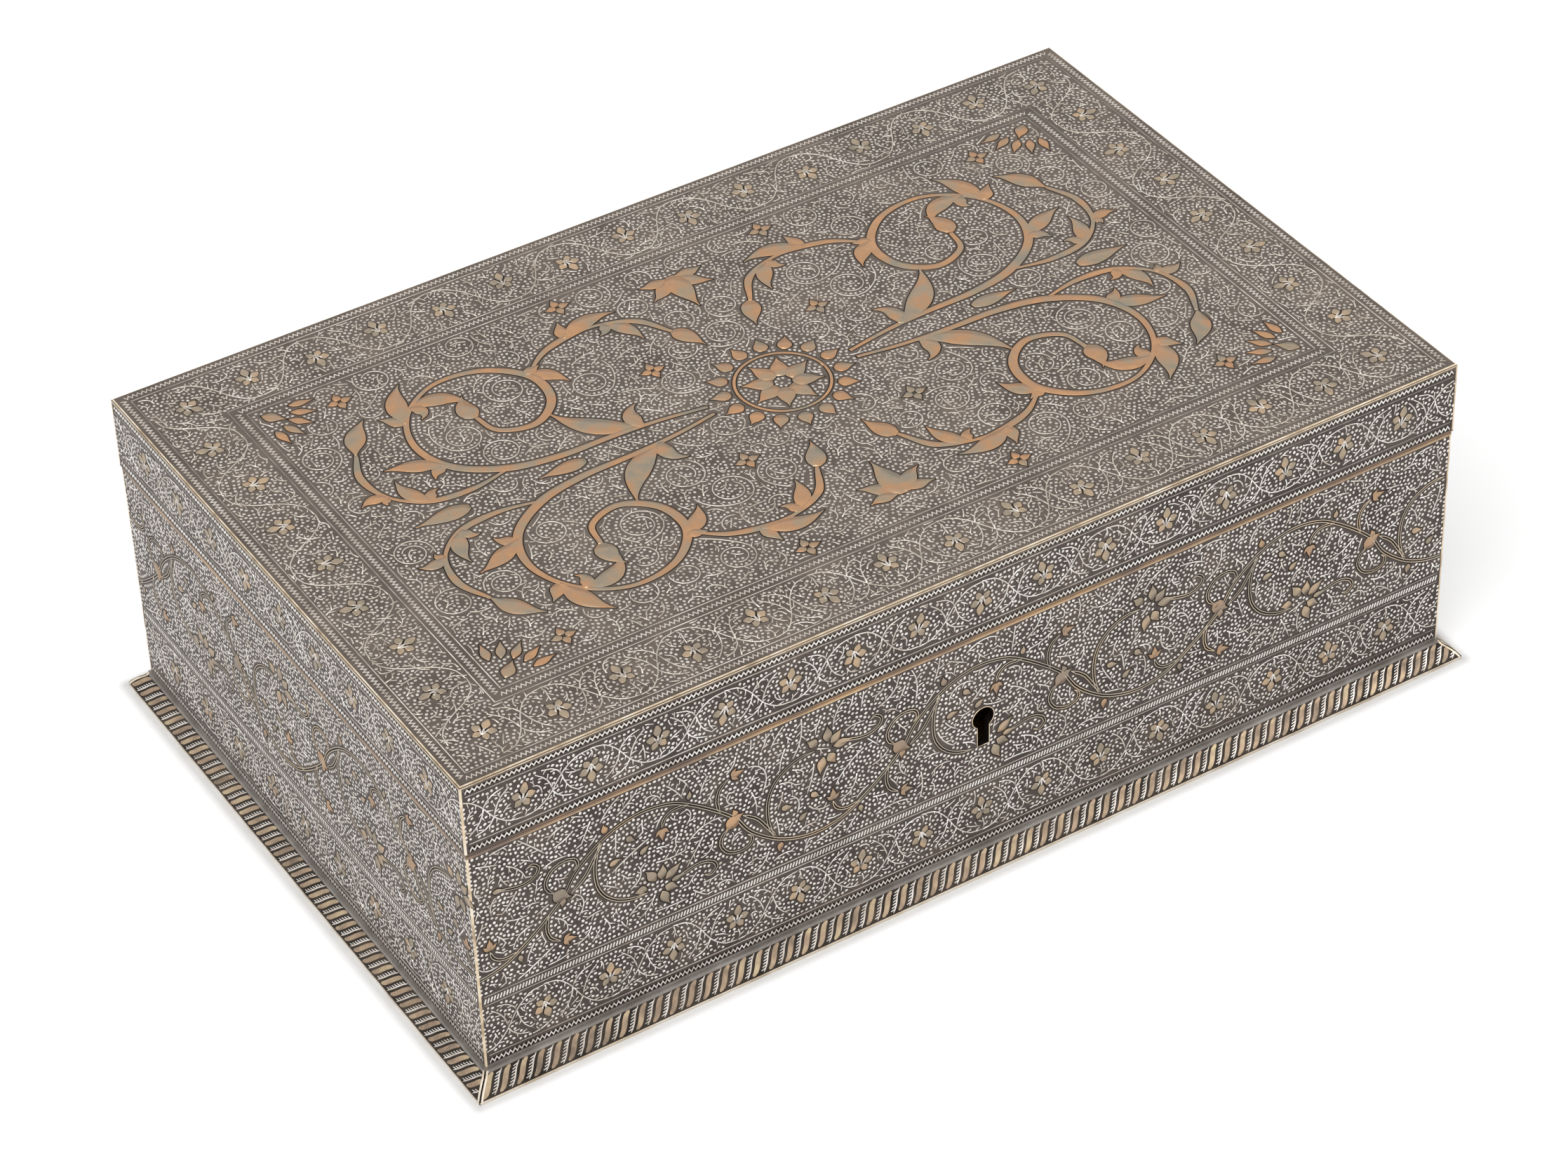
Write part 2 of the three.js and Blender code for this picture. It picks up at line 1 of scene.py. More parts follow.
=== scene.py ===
# %% [markdown]
# # A damascened steel casket
# A table casket of darkened steel: a shallow lid on two hinges, a deep body and a moulded foot. Its maker
# roughened the steel, then hammered silver wire, silver dots and gold leaf into it. The casket itself comes
# packed from CAD and is never moved or changed here. This file adds the metal that lies on it, the
# finishes, the light and the camera. Every new piece is in the frame of the CAD, in metres, and rides on
# the lid or on the body.

import math

import bpy
import numpy as np
from mathutils import Matrix, Vector


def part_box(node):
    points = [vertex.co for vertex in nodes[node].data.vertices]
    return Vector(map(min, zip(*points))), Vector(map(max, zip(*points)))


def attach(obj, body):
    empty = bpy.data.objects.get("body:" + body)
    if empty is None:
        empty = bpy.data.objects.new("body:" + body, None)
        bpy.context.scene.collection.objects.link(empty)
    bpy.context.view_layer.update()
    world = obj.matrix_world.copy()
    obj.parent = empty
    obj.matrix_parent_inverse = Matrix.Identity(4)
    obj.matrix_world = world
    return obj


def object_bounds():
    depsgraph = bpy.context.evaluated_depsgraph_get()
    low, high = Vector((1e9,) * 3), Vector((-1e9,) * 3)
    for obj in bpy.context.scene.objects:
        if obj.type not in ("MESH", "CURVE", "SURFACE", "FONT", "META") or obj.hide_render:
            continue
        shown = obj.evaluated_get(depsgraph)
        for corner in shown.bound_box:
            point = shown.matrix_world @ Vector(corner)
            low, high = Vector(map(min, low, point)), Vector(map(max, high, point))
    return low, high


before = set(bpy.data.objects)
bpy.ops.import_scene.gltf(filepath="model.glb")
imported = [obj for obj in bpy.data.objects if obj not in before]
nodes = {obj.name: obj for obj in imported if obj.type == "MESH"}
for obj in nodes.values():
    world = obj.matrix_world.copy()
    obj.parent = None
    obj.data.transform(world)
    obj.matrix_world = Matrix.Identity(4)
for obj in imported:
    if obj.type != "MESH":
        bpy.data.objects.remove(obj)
cad_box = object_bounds()
MM = 0.001
print("casket:", len(nodes), "nodes,", [round(side * 1000, 1) for side in cad_box[1] - cad_box[0]], "mm")

# %% [markdown]
# ## Where the faces are
# The ornament is drawn flat, in millimetres, and then laid on a face of the casket. A face needs its lower
# left corner as seen from outside, the way along it and the way up it. Out of the steel is then along x up.
# The corners come from the CAD nodes, so that the inlay lies on the steel wherever that is.


# %% The faces of the lid and the body
class Face:
    def __init__(self, name, corner, along, up, width):
        self.name = name
        self.corner = np.array(corner, float)
        self.along = np.array(along, float)
        self.up = np.array(up, float)
        self.out = np.cross(self.along, self.up)
        self.width = width

    def place(self, points):
        """Points as along, up and out of the face, in mm, to the casket's frame."""
        along, up, out = points[:, :1], points[:, 1:2], points[:, 2:]
        return self.corner + along * self.along + up * self.up + out * self.out


def four_sides(half_long, half_short):
    """The four upright faces of a box; their heights are those above the table."""
    return {
        "front": Face("front", (-half_long, -half_short, 0), (1, 0, 0), (0, 0, 1), 2 * half_long),
        "right": Face("right", (half_long, -half_short, 0), (0, 1, 0), (0, 0, 1), 2 * half_short),
        "back": Face("back", (half_long, half_short, 0), (-1, 0, 0), (0, 0, 1), 2 * half_long),
        "left": Face("left", (-half_long, half_short, 0), (0, -1, 0), (0, 0, 1), 2 * half_short),
    }


def reach(node, axis):
    return max(abs(corner[axis]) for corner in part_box(node)) / MM


lid_long, lid_short = reach("lid_rim_right", 0), reach("lid_rim_front", 1)
body_long, body_short = reach("right_wall", 0), reach("front_wall", 1)
lid_sides = four_sides(lid_long, lid_short)
body_sides = four_sides(body_long, body_short)
lid_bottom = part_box("lid_rim_front")[0].z / MM
lid_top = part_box("lid_top")[1].z / MM
rim_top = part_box("front_wall")[1].z / MM
foot_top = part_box("plinth_front")[1].z / MM
top_face = Face("top", (-lid_long, -lid_short, lid_top), (1, 0, 0), (0, 1, 0), 2 * lid_long)
print("lid", lid_long, lid_short, lid_bottom, lid_top, "body", body_long, body_short, rim_top, foot_top)

# %% [markdown]
# ## A sheet to lay the ornament out on
# Damascened work is so close that each wire keeps just clear of the ones beside it. To do the same, the
# file keeps a sheet of small cells for a face, and marks the cells that metal already covers and those near
# it. A new wire is cut short where it would run into them. The dots are set last, wherever there is room.

# %% The sheet
CELL = 0.16  # mm, the side of a cell
MARGIN = 14  # cells round the sheet that nothing is drawn on
STEP = 0.45  # mm, from point to point of a drawn line


def disc_of_cells(radius):
    n = int(math.ceil(radius))
    across, along = np.mgrid[-n : n + 1, -n : n + 1]
    inside = along * along + across * across <= radius * radius
    return across[inside][None, :], along[inside][None, :]


def left_of(points):
    """The unit direction to the left of a path, at each of its points."""
    run = np.gradient(points, axis=0)
    run /= np.maximum(np.linalg.norm(run, axis=1), 1e-9)[:, None]
    return np.stack([-run[:, 1], run[:, 0]], 1)


def respaced(points, step, widths=0.0):
    """The same path with its points a step apart, and its widths there."""
    lengths = np.concatenate([[0], np.cumsum(np.linalg.norm(np.diff(points, axis=0), axis=1))])
    at = np.linspace(0, lengths[-1], max(2, int(round(lengths[-1] / step)) + 1))
    path = np.stack([np.interp(at, lengths, points[:, k]) for k in (0, 1)], 1)
    return path, np.interp(at, lengths, np.broadcast_to(widths, len(points)))


class Sheet:
    def __init__(self, width, height):
        self.width, self.height = width, height
        self.columns = int(width / CELL) + 2 * MARGIN
        self.rows = int(height / CELL) + 2 * MARGIN
        self.metal = np.zeros((self.rows, self.columns), bool)
        self.near = np.ones((self.rows, self.columns), bool)
        self.near[MARGIN + 3 : -MARGIN - 3, MARGIN + 3 : -MARGIN - 3] = False
        self.close = self.near.copy()
        self.wires, self.leaves, self.buds, self.stems = [], [], [], []
        self.outlines, self.flowers, self.dots, self.waiting = [], [], [], []
        self.holes = []

    def cells(self, points):
        column = np.clip((points[:, 0] / CELL).astype(int) + MARGIN, 0, self.columns - 1)
        row = np.clip((points[:, 1] / CELL).astype(int) + MARGIN, 0, self.rows - 1)
        return row, column

    def block(self, x0, y0, x1, y1):
        """Keeps all ornament out of a rectangle."""
        (row0, row1), (column0, column1) = self.cells(np.array([[x0, y0], [x1, y1]]))
        for zone in (self.metal, self.near, self.close):
            zone[row0:row1, column0:column1] = True

    def mark(self, zone, points, radius):
        """Marks the cells within a radius, counted in cells, of any of the points."""
        row, column = self.cells(points)
        across, along = disc_of_cells(radius)
        zone[np.clip(row[:, None] + across, 0, self.rows - 1),
             np.clip(column[:, None] + along, 0, self.columns - 1)] = True

    def cover(self, points, widths, clear):
        """Marks the cells under a line of these widths, and those within clear of it."""
        path, wide = respaced(points, CELL / 2, widths)
        side = left_of(path)
        for share in np.linspace(-0.5, 0.5, max(2, int(np.max(wide) / CELL) + 1)):
            self.metal[self.cells(path + side * (wide * share)[:, None])] = True
        cells_wide = np.round(wide / 2 / CELL)
        for half in np.unique(cells_wide):
            for zone, room in ((self.near, clear), (self.close, 0.3)):
                self.mark(zone, path[cells_wide == half], half + room / CELL)

    def settle(self):
        """What was laid since the last time is now in the way of what follows."""
        for points, widths, clear in self.waiting:
            self.cover(points, widths, clear)
        self.waiting = []

    def hole(self, x, y, radius):
        """Nothing may lie over a round hole."""
        self.holes.append((x, y, radius))
        for zone, room in ((self.metal, 0.0), (self.close, 0.3), (self.near, 0.4)):
            self.mark(zone, np.array([[x, y]]), (radius + room) / CELL)

    def over_a_hole(self, points, room=0.0):
        hit = np.zeros(len(points), bool)
        for x, y, radius in self.holes:
            hit |= np.hypot(points[:, 0] - x, points[:, 1] - y) < radius + room
        return hit

    def outline(self, path, widths, edge=0.3):
        """A dark groove that shows edge mm wide all round a leaf or a stem."""
        first, last = path[0] - path[1], path[-1] - path[-2]
        start = path[0] + edge * first / np.linalg.norm(first)
        end = path[-1] + edge * last / np.linalg.norm(last)
        wide = np.concatenate([[widths[0] * 0.6], widths, [widths[-1] * 0.6]]) + 2 * edge
        self.outlines.append((np.vstack([start, path, end]), wide))

    def free_run(self, points, skip, least):
        """The first stretch of a path that keeps clear; its first skip mm may lie close to its stem."""
        row, column = self.cells(points)
        hit = self.near[row, column]
        start = int(round(skip / STEP))
        hit[:start] = self.close[row, column][:start]
        hit[: min(start, 2)] = False
        if hit.any():
            points = points[: int(np.argmax(hit))]
        return points if len(points) * STEP >= least else None

    def lay(self, points, widths, clear):
        """Lays a wire, which is in the way of others as soon as the sheet is settled."""
        self.wires.append((points, widths))
        self.waiting.append((points, widths, clear))

    def wire(self, points, thick=0.42, thin=0.26, skip=0.0, least=1.2, clear=0.7):
        points = self.free_run(points, skip, least)
        if points is None:
            return None
        self.lay(points, np.linspace(thick, thin, len(points)), clear)
        return points


# %% [markdown]
# ## The lines an inlayer draws
# A wire follows a flowing line. Three kinds are enough here: a smooth curve through a few chosen points, an
# arc that tightens as it goes, and a spiral that unrolls from its eye. From a stem spring short barbs, by
# turns on its two sides, all leaning the way it grows.


# %% Curves, arcs, spirals and barbs
def curve(knots, step=STEP):
    knots = np.array(knots, float)
    ends = np.vstack([2 * knots[0] - knots[1], knots, 2 * knots[-1] - knots[-2]])
    t = np.linspace(0, 1, 13)[:-1, None]
    spans = []
    for a, b, c, d in zip(ends, ends[1:], ends[2:], ends[3:]):
        square = (2 * a - 5 * b + 4 * c - d) * t**2
        spans.append(0.5 * (2 * b + (c - a) * t + square + (3 * b - a - 3 * c + d) * t**3))
    return respaced(np.vstack(spans + [knots[-1:]]), step)[0]


def arc(start, heading, bend, length, step=STEP):
    n = max(3, int(round(length / step)) + 1)
    angle = heading + bend * np.linspace(0, 1, n) ** 1.3
    steps = np.stack([np.cos(angle), np.sin(angle)], 1) * (length / (n - 1))
    return np.array(start) + np.vstack([[0, 0], np.cumsum(steps[:-1], 0)])


def towards(angle):
    return np.array([math.cos(angle), math.sin(angle)])


def spiral(centre, radius, turns, start, hand, eye=0.22):
    """From its eye outwards."""
    t = np.linspace(1, 0, int(turns * 2 * math.pi * radius * 0.62 / STEP))
    distance = radius * (1 - (1 - eye) * t)
    angle = start + hand * turns * 2 * math.pi * t
    return np.array(centre) + distance[:, None] * np.stack([np.cos(angle), np.sin(angle)], 1)


def barbs(sheet, stem, every, length, lean, chance, first=1.2, fork=0.0):
    side_of = left_of(stem)
    for turn, k in enumerate(range(int(first / STEP), len(stem) - 1, max(1, int(round(every / STEP))))):
        side = 1 if turn % 2 else -1
        out = side_of[k] * side
        run = np.array([side_of[k][1], -side_of[k][0]])
        aim = run * math.cos(lean) + out * math.sin(lean)
        size = length * chance.uniform(0.7, 1.15)
        barb = arc(stem[k], math.atan2(aim[1], aim[0]), side * chance.uniform(-0.4, 1.0), size, 0.36)
        if add_barb(sheet, barb, 0.4) and chance.random() < fork:
            middle = barb[len(barb) // 2]
            turn_off = math.atan2(*(barb[-1] - middle)[::-1]) - side * 0.9
            add_barb(sheet, arc(middle, turn_off, 0.0, size * 0.5, 0.36), 0.36)


def add_barb(sheet, barb, thick):
    row, column = sheet.cells(barb)
    if sheet.close[row, column][3:].any():
        return False
    sheet.lay(barb, np.linspace(thick, thick * 0.7, len(barb)), 0.3)
    return True


# %% [markdown]
# ## Dots
# The ground between the wires is filled with dots, each the end of a silver wire hammered down. On the
# real casket they follow the wires in rows, like pips on a string. The same comes about when the cells are
# taken in the order of their distance from the nearest wire: first a row beside every wire, then the next.


# %% Dots wherever there is room
def distance_to(metal, most):
    """Each cell's distance to the nearest metal one, in cells, up to most."""
    down = np.full(metal.shape, most, np.float32)
    for row in range(metal.shape[0]):
        before = down[row - 1] + 1 if row else most
        down[row] = np.where(metal[row], 0, np.minimum(before, most))
    up = down.copy()
    for row in range(metal.shape[0] - 2, -1, -1):
        up[row] = np.minimum(up[row], up[row + 1] + 1)
    best = up**2
    for shift in range(1, int(most) + 1):
        best[:, shift:] = np.minimum(best[:, shift:], up[:, :-shift] ** 2 + shift**2)
        best[:, :-shift] = np.minimum(best[:, :-shift], up[:, shift:] ** 2 + shift**2)
    return np.sqrt(best)


DOT_PITCH, DOT_GAP = 1.24, 0.6  # mm, from dot to dot and from a dot's middle to a wire's edge


def strew_dots(sheet):
    pitch, gap = DOT_PITCH / CELL, DOT_GAP / CELL
    metal = sheet.metal.copy()
    metal[:MARGIN] = metal[-MARGIN:] = True
    metal[:, :MARGIN] = metal[:, -MARGIN:] = True
    far = distance_to(metal, int(pitch) + 8)
    row, column = np.nonzero(far >= gap)
    ring = ((far[row, column] - gap) / 1.5).astype(int)
    order = np.lexsort((row, column, ring))
    across, along = disc_of_cells(pitch - 0.5)
    around = (across * sheet.columns + along)[0]
    state = bytearray(sheet.rows * sheet.columns)
    taken = np.frombuffer(state, np.uint8)
    found = []
    for cell in (row * sheet.columns + column)[order].tolist():
        if not state[cell]:
            found.append(cell)
            taken[cell + around] = 1
    found = np.array(found)
    corner = np.stack([found % sheet.columns, found // sheet.columns], 1) - MARGIN
    sheet.dots = (corner + 0.5) * CELL


# %% [markdown]
# ## Leaves and flowers
# The gold is cut from thin sheet: leaves that swell and run out to a point, in threes as a trefoil, or five
# about a centre as a flower with one long petal. Here a leaf is a line whose width changes on the way.

# %% Leaves, trefoils and flowers on a sheet
POINTED = (0.12, 0.62, 0.95, 1.0, 0.82, 0.5, 0.2, 0.03)
DROP = (0.35, 0.85, 1.0, 0.95, 0.75, 0.45, 0.15, 0.02)


def swelling(path, width, shape):
    """The widths of a leaf along its middle line."""
    return np.interp(np.linspace(0, 1, len(path)), np.linspace(0, 1, len(shape)), shape) * width


def set_leaf(sheet, path, width, shape, kind="leaves"):
    if sheet.over_a_hole(path, width / 2 + 0.2).any():
        return
    widths = swelling(path, width, shape)
    getattr(sheet, kind).append((path, widths))
    sheet.outline(path, widths)
    sheet.waiting.append((path, widths + 0.3, 0.5))


def leaf(sheet, root, heading, length, width, bend=0.0, shape=POINTED, kind="leaves"):
    set_leaf(sheet, arc(root, heading, bend, length, length / 10), width, shape, kind)


def trefoil(sheet, at, heading, size):
    for turn, share in ((0.0, 1.0), (0.95, 0.72), (-0.95, 0.72)):
        leaf(sheet, at, heading + turn, size * share, size * 0.5 * share, -0.3 * turn, kind="buds")


BLOSSOM = ((0.25, 1.05, 0.24), (1.0, 0.85, 0.2), (1.75, 0.95, 0.24), (-0.9, 0.8, 0.22), (-1.6, 1.0, 0.28),
           (2.7, 0.7, 0.4))


def blossom(sheet, at, heading, size):
    """The large open blossom at the end of each branch of the great scroll."""
    for turn, share, out in BLOSSOM:
        root = np.array(at) + size * out * towards(heading + turn)
        leaf(sheet, root, heading + turn, size * 0.6 * share, size * 0.32, 0.25)


PETALS = ((0.0, 3.7, 2.4), (1.28, 2.7, 2.4), (-1.28, 2.7, 2.4), (2.5, 2.5, 2.1), (-2.5, 2.5, 2.1))
PETAL = (0.45, 0.8, 1.0, 0.95, 0.75, 0.4, 0.08)
HEART = 0.75


def flower(sheet, at, heading, size=0.95):
    at = np.array(at, float)
    sheet.flowers.append((at, heading, size))
    for turn, length, width in PETALS:
        root = at + HEART * size * towards(heading + turn)
        path = arc(root, heading + turn, 0.0, length * size, 0.4)
        widths = swelling(path, width * size, PETAL)
        sheet.outline(path, widths, 0.26)
        sheet.waiting.append((path, widths + 0.2, 0.5))
    foot = at - 1.5 * size * towards(heading)
    for turn in (0.0, 0.48, -0.48):
        prong = arc(foot, heading + turn, 0.0, 2.6 * size, 0.5)
        sheet.wires.append((prong, np.linspace(0.3, 0.66, len(prong))))


# %% [markdown]
# ## Feathered sprays
# Much of the ground is filled with sprays like coral: a curving stem with barbs close together on both
# sides, many of them forked. The stems are laid first and well apart, the barbs then grow into the space
# between them.


# %% Sprays like coral
def coral(sheet, spacing, longest, chance, least=2.6):
    stems = []
    for _ in range(int(sheet.width * sheet.height / 3)):
        at = (chance.uniform(0.5, sheet.width - 0.5), chance.uniform(0.5, sheet.height - 0.5))
        if sheet.near[sheet.cells(np.array([at]))][0]:
            continue
        length = chance.uniform(least, longest)
        path = arc(at, chance.uniform(0, 2 * math.pi), chance.uniform(-2.6, 2.6), length)
        stem = sheet.wire(path, 0.5, 0.36, least=least, clear=spacing)
        if stem is not None:
            stems.append(stem)
            sheet.settle()
    for stem in stems:
        barbs(sheet, stem, 1.26, 1.8, 0.85, chance, first=0.9, fork=0.25)
    sheet.settle()
    return stems


# %% [markdown]
# ## The floral border
# Round the lid, along its sides and along the foot of the body runs the same border: flowers by turns
# upright and hanging, and a silver stem that passes under one and over the next, with feathered sprays.
# One step of it is drawn once, between two flowers, and laid along each side.

# %% One step of the border, and a run of steps
STEM = ((0, -1.0), (3.6, -0.9), (6.8, -0.44), (8.8, 0.06), (10.8, 0.5), (14.1, 0.9), (17.7, 0.98))
SPRAYS = (
    ((7.6, -0.24), (6.9, 0.18), (5.6, 0.52), (3.4, 0.84)),
    ((10.1, 0.36), (9.2, 0.62), (7.4, 0.84), (5.0, 0.93)),
    ((10.1, 0.32), (10.9, -0.12), (12.1, -0.5), (14.3, -0.82)),
    ((7.5, -0.3), (8.5, -0.55), (10.4, -0.8), (13.0, -0.92)),
    ((0.2, -0.94), (0.6, -0.75), (0.2, -0.5), (0.0, -0.18)),
)
STEM_STEP = 17.7


def border_run(sheet, places, high, along, up, chance):
    """Places are the flowers' centres in turn; high is half the border's height."""
    along, up = np.array(along, float), np.array(up, float)

    def lay(knots, k):
        flip = 1 if k % 2 == 0 else -1
        pace = np.linalg.norm(places[k + 1] - places[k]) / STEM_STEP
        return curve([places[k] + along * x * pace + up * y * high * flip for x, y in knots])

    stems = []
    for k in range(len(places) - 1):
        stem = lay(STEM, k)
        inside = (stem > 0.3).all(1) & (stem[:, 0] < sheet.width - 0.3) & (stem[:, 1] < sheet.height - 0.3)
        stem = stem[inside]
        if len(stem) < 5:
            continue
        sheet.lay(stem, np.full(len(stem), 0.42), 0.5)
        stems.append(stem)
    sheet.settle()
    for k in range(len(places) - 1):
        for knots in SPRAYS:
            spray = sheet.wire(lay(knots, k), 0.5, 0.36, skip=2.4, least=1.5, clear=0.5)
            if spray is not None:
                stems.append(spray)
        sheet.settle()
    for stem in stems:
        barbs(sheet, stem, 1.26, 1.6, 0.8, chance, first=0.9, fork=0.15)
    sheet.settle()
    coral(sheet, spacing=1.9, longest=7.0, chance=chance)


def floral_band(width, height, count, first, pitch, starts_down, seed):
    chance = np.random.default_rng(seed)
    sheet = Sheet(width, height)
    places = [np.array([first + k * pitch, height / 2]) for k in range(-1, count + 1)]
    turned = 1 if starts_down else 0
    for k, place in enumerate(places):
        flip = 1 if (k + turned) % 2 == 0 else -1
        if 4.6 < place[0] < width - 4.6:
            flower(sheet, place, flip * math.pi / 2 + chance.uniform(-0.25, 0.25))
    sheet.settle()
    up = (0, 1) if turned == 0 else (0, -1)
    border_run(sheet, places, height / 2 - 0.8, (1, 0), up, chance)
    strew_dots(sheet)
    return sheet


# %% [markdown]
# ## The great scroll of the body
# Round the body runs a wave of two gold wires side by side. From each node it throws back a long curl that
# ends in an open blossom, a smaller curl and a riser with a trefoil. One half wave is drawn; the next one is
# the same turned over.

# %% One half wave of the great scroll
NODE_TO_NODE = 46.3
WAVE = ((0, 0), (3, 5.0), (7.3, 9.1), (11.9, 12.2), (17.4, 14.2), (22.9, 14.7), (29.1, 13.4), (33.8, 10.7),
        (38.5, 7.2), (43.2, 3.2), (46.3, 0))
BRANCHES = (
    ((9.9, 10.9), (8.4, 5.2), (8.4, -0.8), (10, -5.1), (13.1, -8.3), (17.4, -10.2), (21.6, -10.4)),
    ((29.2, -9.9), (35.4, -8.4), (39.0, -9.4), (40.2, -11.6), (38.6, -13.2), (36.9, -12.6)),
    ((33.6, 10.9), (29.6, 11.3), (27.2, 9.9), (26.2, 7.4)),
    ((-2.0, 1.4), (-4.2, 3.4), (-4.6, 6.2), (-2.8, 9.0), (0.4, 10.2), (3.2, 9.4), (3.9, 7.4), (2.6, 6.0)),
    ((1.6, -0.4), (5.4, 2.6), (8.0, 6.6), (10.4, 10.4)),
    ((-4.4, -4.0), (-5.2, -7.6), (-4.4, -11.2), (-1.8, -13.4)),
)
SCROLL_LEAVES = (
    ((-2.6, 1.6), -0.75, 5.4, 3.9, 0.5),
    ((-1.4, 0.6), 2.4, 2.6, 1.9, 0.0),
    ((-0.2, -1.2), -1.9, 2.4, 1.7, 0.0),
    ((28.2, -9.9), 0.1, 3.6, 1.7, 0.2),
    ((11.8, 13.2), 2.0, 2.9, 1.9, -0.6),
    ((12.2, 2.6), 0.5, 3.4, 1.9, -0.7),
    ((33.6, 12.4), 1.2, 2.6, 1.5, 0.5),
    ((17.0, 9.0), -0.9, 3.0, 1.8, 0.6),
    ((20.4, 2.0), 0.9, 3.2, 1.8, -0.6),
)


def pair_of_wires(sheet, path, opens, closes, apart=0.66, thick=0.32):
    """Two fine gold wires side by side, drawn together at an end that tapers."""
    hit = sheet.over_a_hole(path, 1.1)
    if hit.any():
        path = path[: int(np.argmax(hit))]
    if len(path) < 6:
        return
    side = left_of(path)
    t = np.linspace(0, 1, len(path))
    spread = np.clip(np.minimum(t / 0.12 + 1 - opens, (1 - t) / 0.12 + 1 - closes), 0, 1)[:, None]
    for half in (-apart / 2, apart / 2):
        sheet.stems.append((path + side * half * spread, np.full(len(path), thick)))
    across = apart * spread[:, 0] + thick
    sheet.outline(path, across, 0.22)
    sheet.waiting.append((path, across, 0.5))


def great_scroll(sheet, count, middle):
    pace = sheet.width / (count * NODE_TO_NODE)
    first = 24.0 / 280.0 * sheet.width - NODE_TO_NODE * pace
    for k in range(count + 2):
        flip = 1 if k % 2 == 1 else -1
        origin = np.array([first + k * NODE_TO_NODE * pace, middle])
        scale = np.array([pace, flip])
        for knots in (WAVE,) + BRANCHES:
            path = curve(origin + np.array(knots) * scale)
            path = path[(path[:, 0] > 0.4) & (path[:, 0] < sheet.width - 0.4)]
            if len(path) > 5:
                ends = 0 if knots is WAVE else 1
                pair_of_wires(sheet, path, ends, ends)
        for draw, spot, heading, size in (
            (blossom, (24.8, -9.6), 0.3, 8.4),
            (trefoil, (26.3, 6.9), -math.pi / 2, 3.6),
            (trefoil, (-1.0, -13.6), -0.15, 3.6),
        ):
            at = origin + np.array(spot) * scale
            if 3 < at[0] < sheet.width - 3:
                draw(sheet, at, flip * heading, size)
        for n, (spot, heading, length, width, bend) in enumerate(SCROLL_LEAVES):
            at = origin + np.array(spot) * scale
            if 2.5 < at[0] < sheet.width - 4:
                kind = "buds" if n in (0, 1, 2, 4) else "leaves"
                leaf(sheet, at, flip * heading, length, width, flip * bend, DROP, kind)
    sheet.settle()


# %% [markdown]
# ## The silver scrollwork
# The ground of the lid's middle is filled with silver spirals that unroll into each other, with a few barbs.
# Their eyes sit on a loose net, and each spiral goes in only as far as it finds room. Short sprays like
# coral then fill what is still empty.


# %% Spirals and sprays
def scrollwork(sheet, pitch, radius, turns, chance):
    stems = []
    for j in range(int(sheet.height / (pitch * 0.87)) + 2):
        for i in range(int(sheet.width / pitch) + 2):
            x = (i + 0.5 * (j % 2)) * pitch + chance.uniform(-0.7, 0.7)
            y = j * pitch * 0.87 + chance.uniform(-0.7, 0.7)
            hand = 1 if (i + j) % 2 else -1
            size = radius * chance.uniform(0.9, 1.08)
            path = spiral((x, y), size, turns, chance.uniform(0, 2 * math.pi), hand, 0.46)
            free = sheet.free_run(path, 0.0, 3.0)
            if free is None:
                continue
            if len(free) == len(path):
                run = free[-1] - free[-2]
                bend = -hand * chance.uniform(0.3, 1.2)
                tail = arc(free[-1], math.atan2(run[1], run[0]), bend, pitch * 0.8)
                tail = sheet.free_run(tail, 0.0, 0.0)
                if tail is not None and len(tail) > 2:
                    free = np.vstack([free, tail[1:]])
            stem = sheet.wire(free, 0.36, 0.48, least=3.0, clear=0.8)
            if stem is not None:
                stems.append(stem)
                sheet.settle()
    for stem in stems:
        barbs(sheet, stem[len(stem) // 2:], 3.0, 1.7, 0.75, chance, first=1.0)
    sheet.settle()
    coral(sheet, spacing=1.9, longest=9.0, chance=chance, least=3.4)


# %% [markdown]
# ## From the flat sheet to metal
# A wire could be a Blender curve with a bevel, but there are many thousands of them, so each is swept here
# as a thin bar with four corners: its foot is let into the steel, its top stands a little proud. A long
# straight needs few points, so points that add nothing are dropped. All wires of one kind become one mesh,
# which keeps the file quick. The flat drawing is kept as the mesh's UV map.

# %% Wires, dots and flowers gathered into one mesh
FOOT = 0.08  # mm, how deep a piece of inlay sits in the steel


def kept_points(points, turn=0.3, longest=1.6):
    """The points of a path that its shape needs: after some turn, or at the latest after some length."""
    run = np.diff(points, axis=0)
    length = np.linalg.norm(run, axis=1)
    heading = np.arctan2(run[:, 1], run[:, 0])
    bend = np.abs((np.diff(heading) + math.pi) % (2 * math.pi) - math.pi)
    keep, turned, gone = [0], 0.0, 0.0
    for k in range(1, len(points) - 1):
        turned += bend[k - 1]
        gone += length[k - 1]
        if turned > turn or gone > longest:
            keep.append(k)
            turned = gone = 0.0
    return keep + [len(points) - 1]


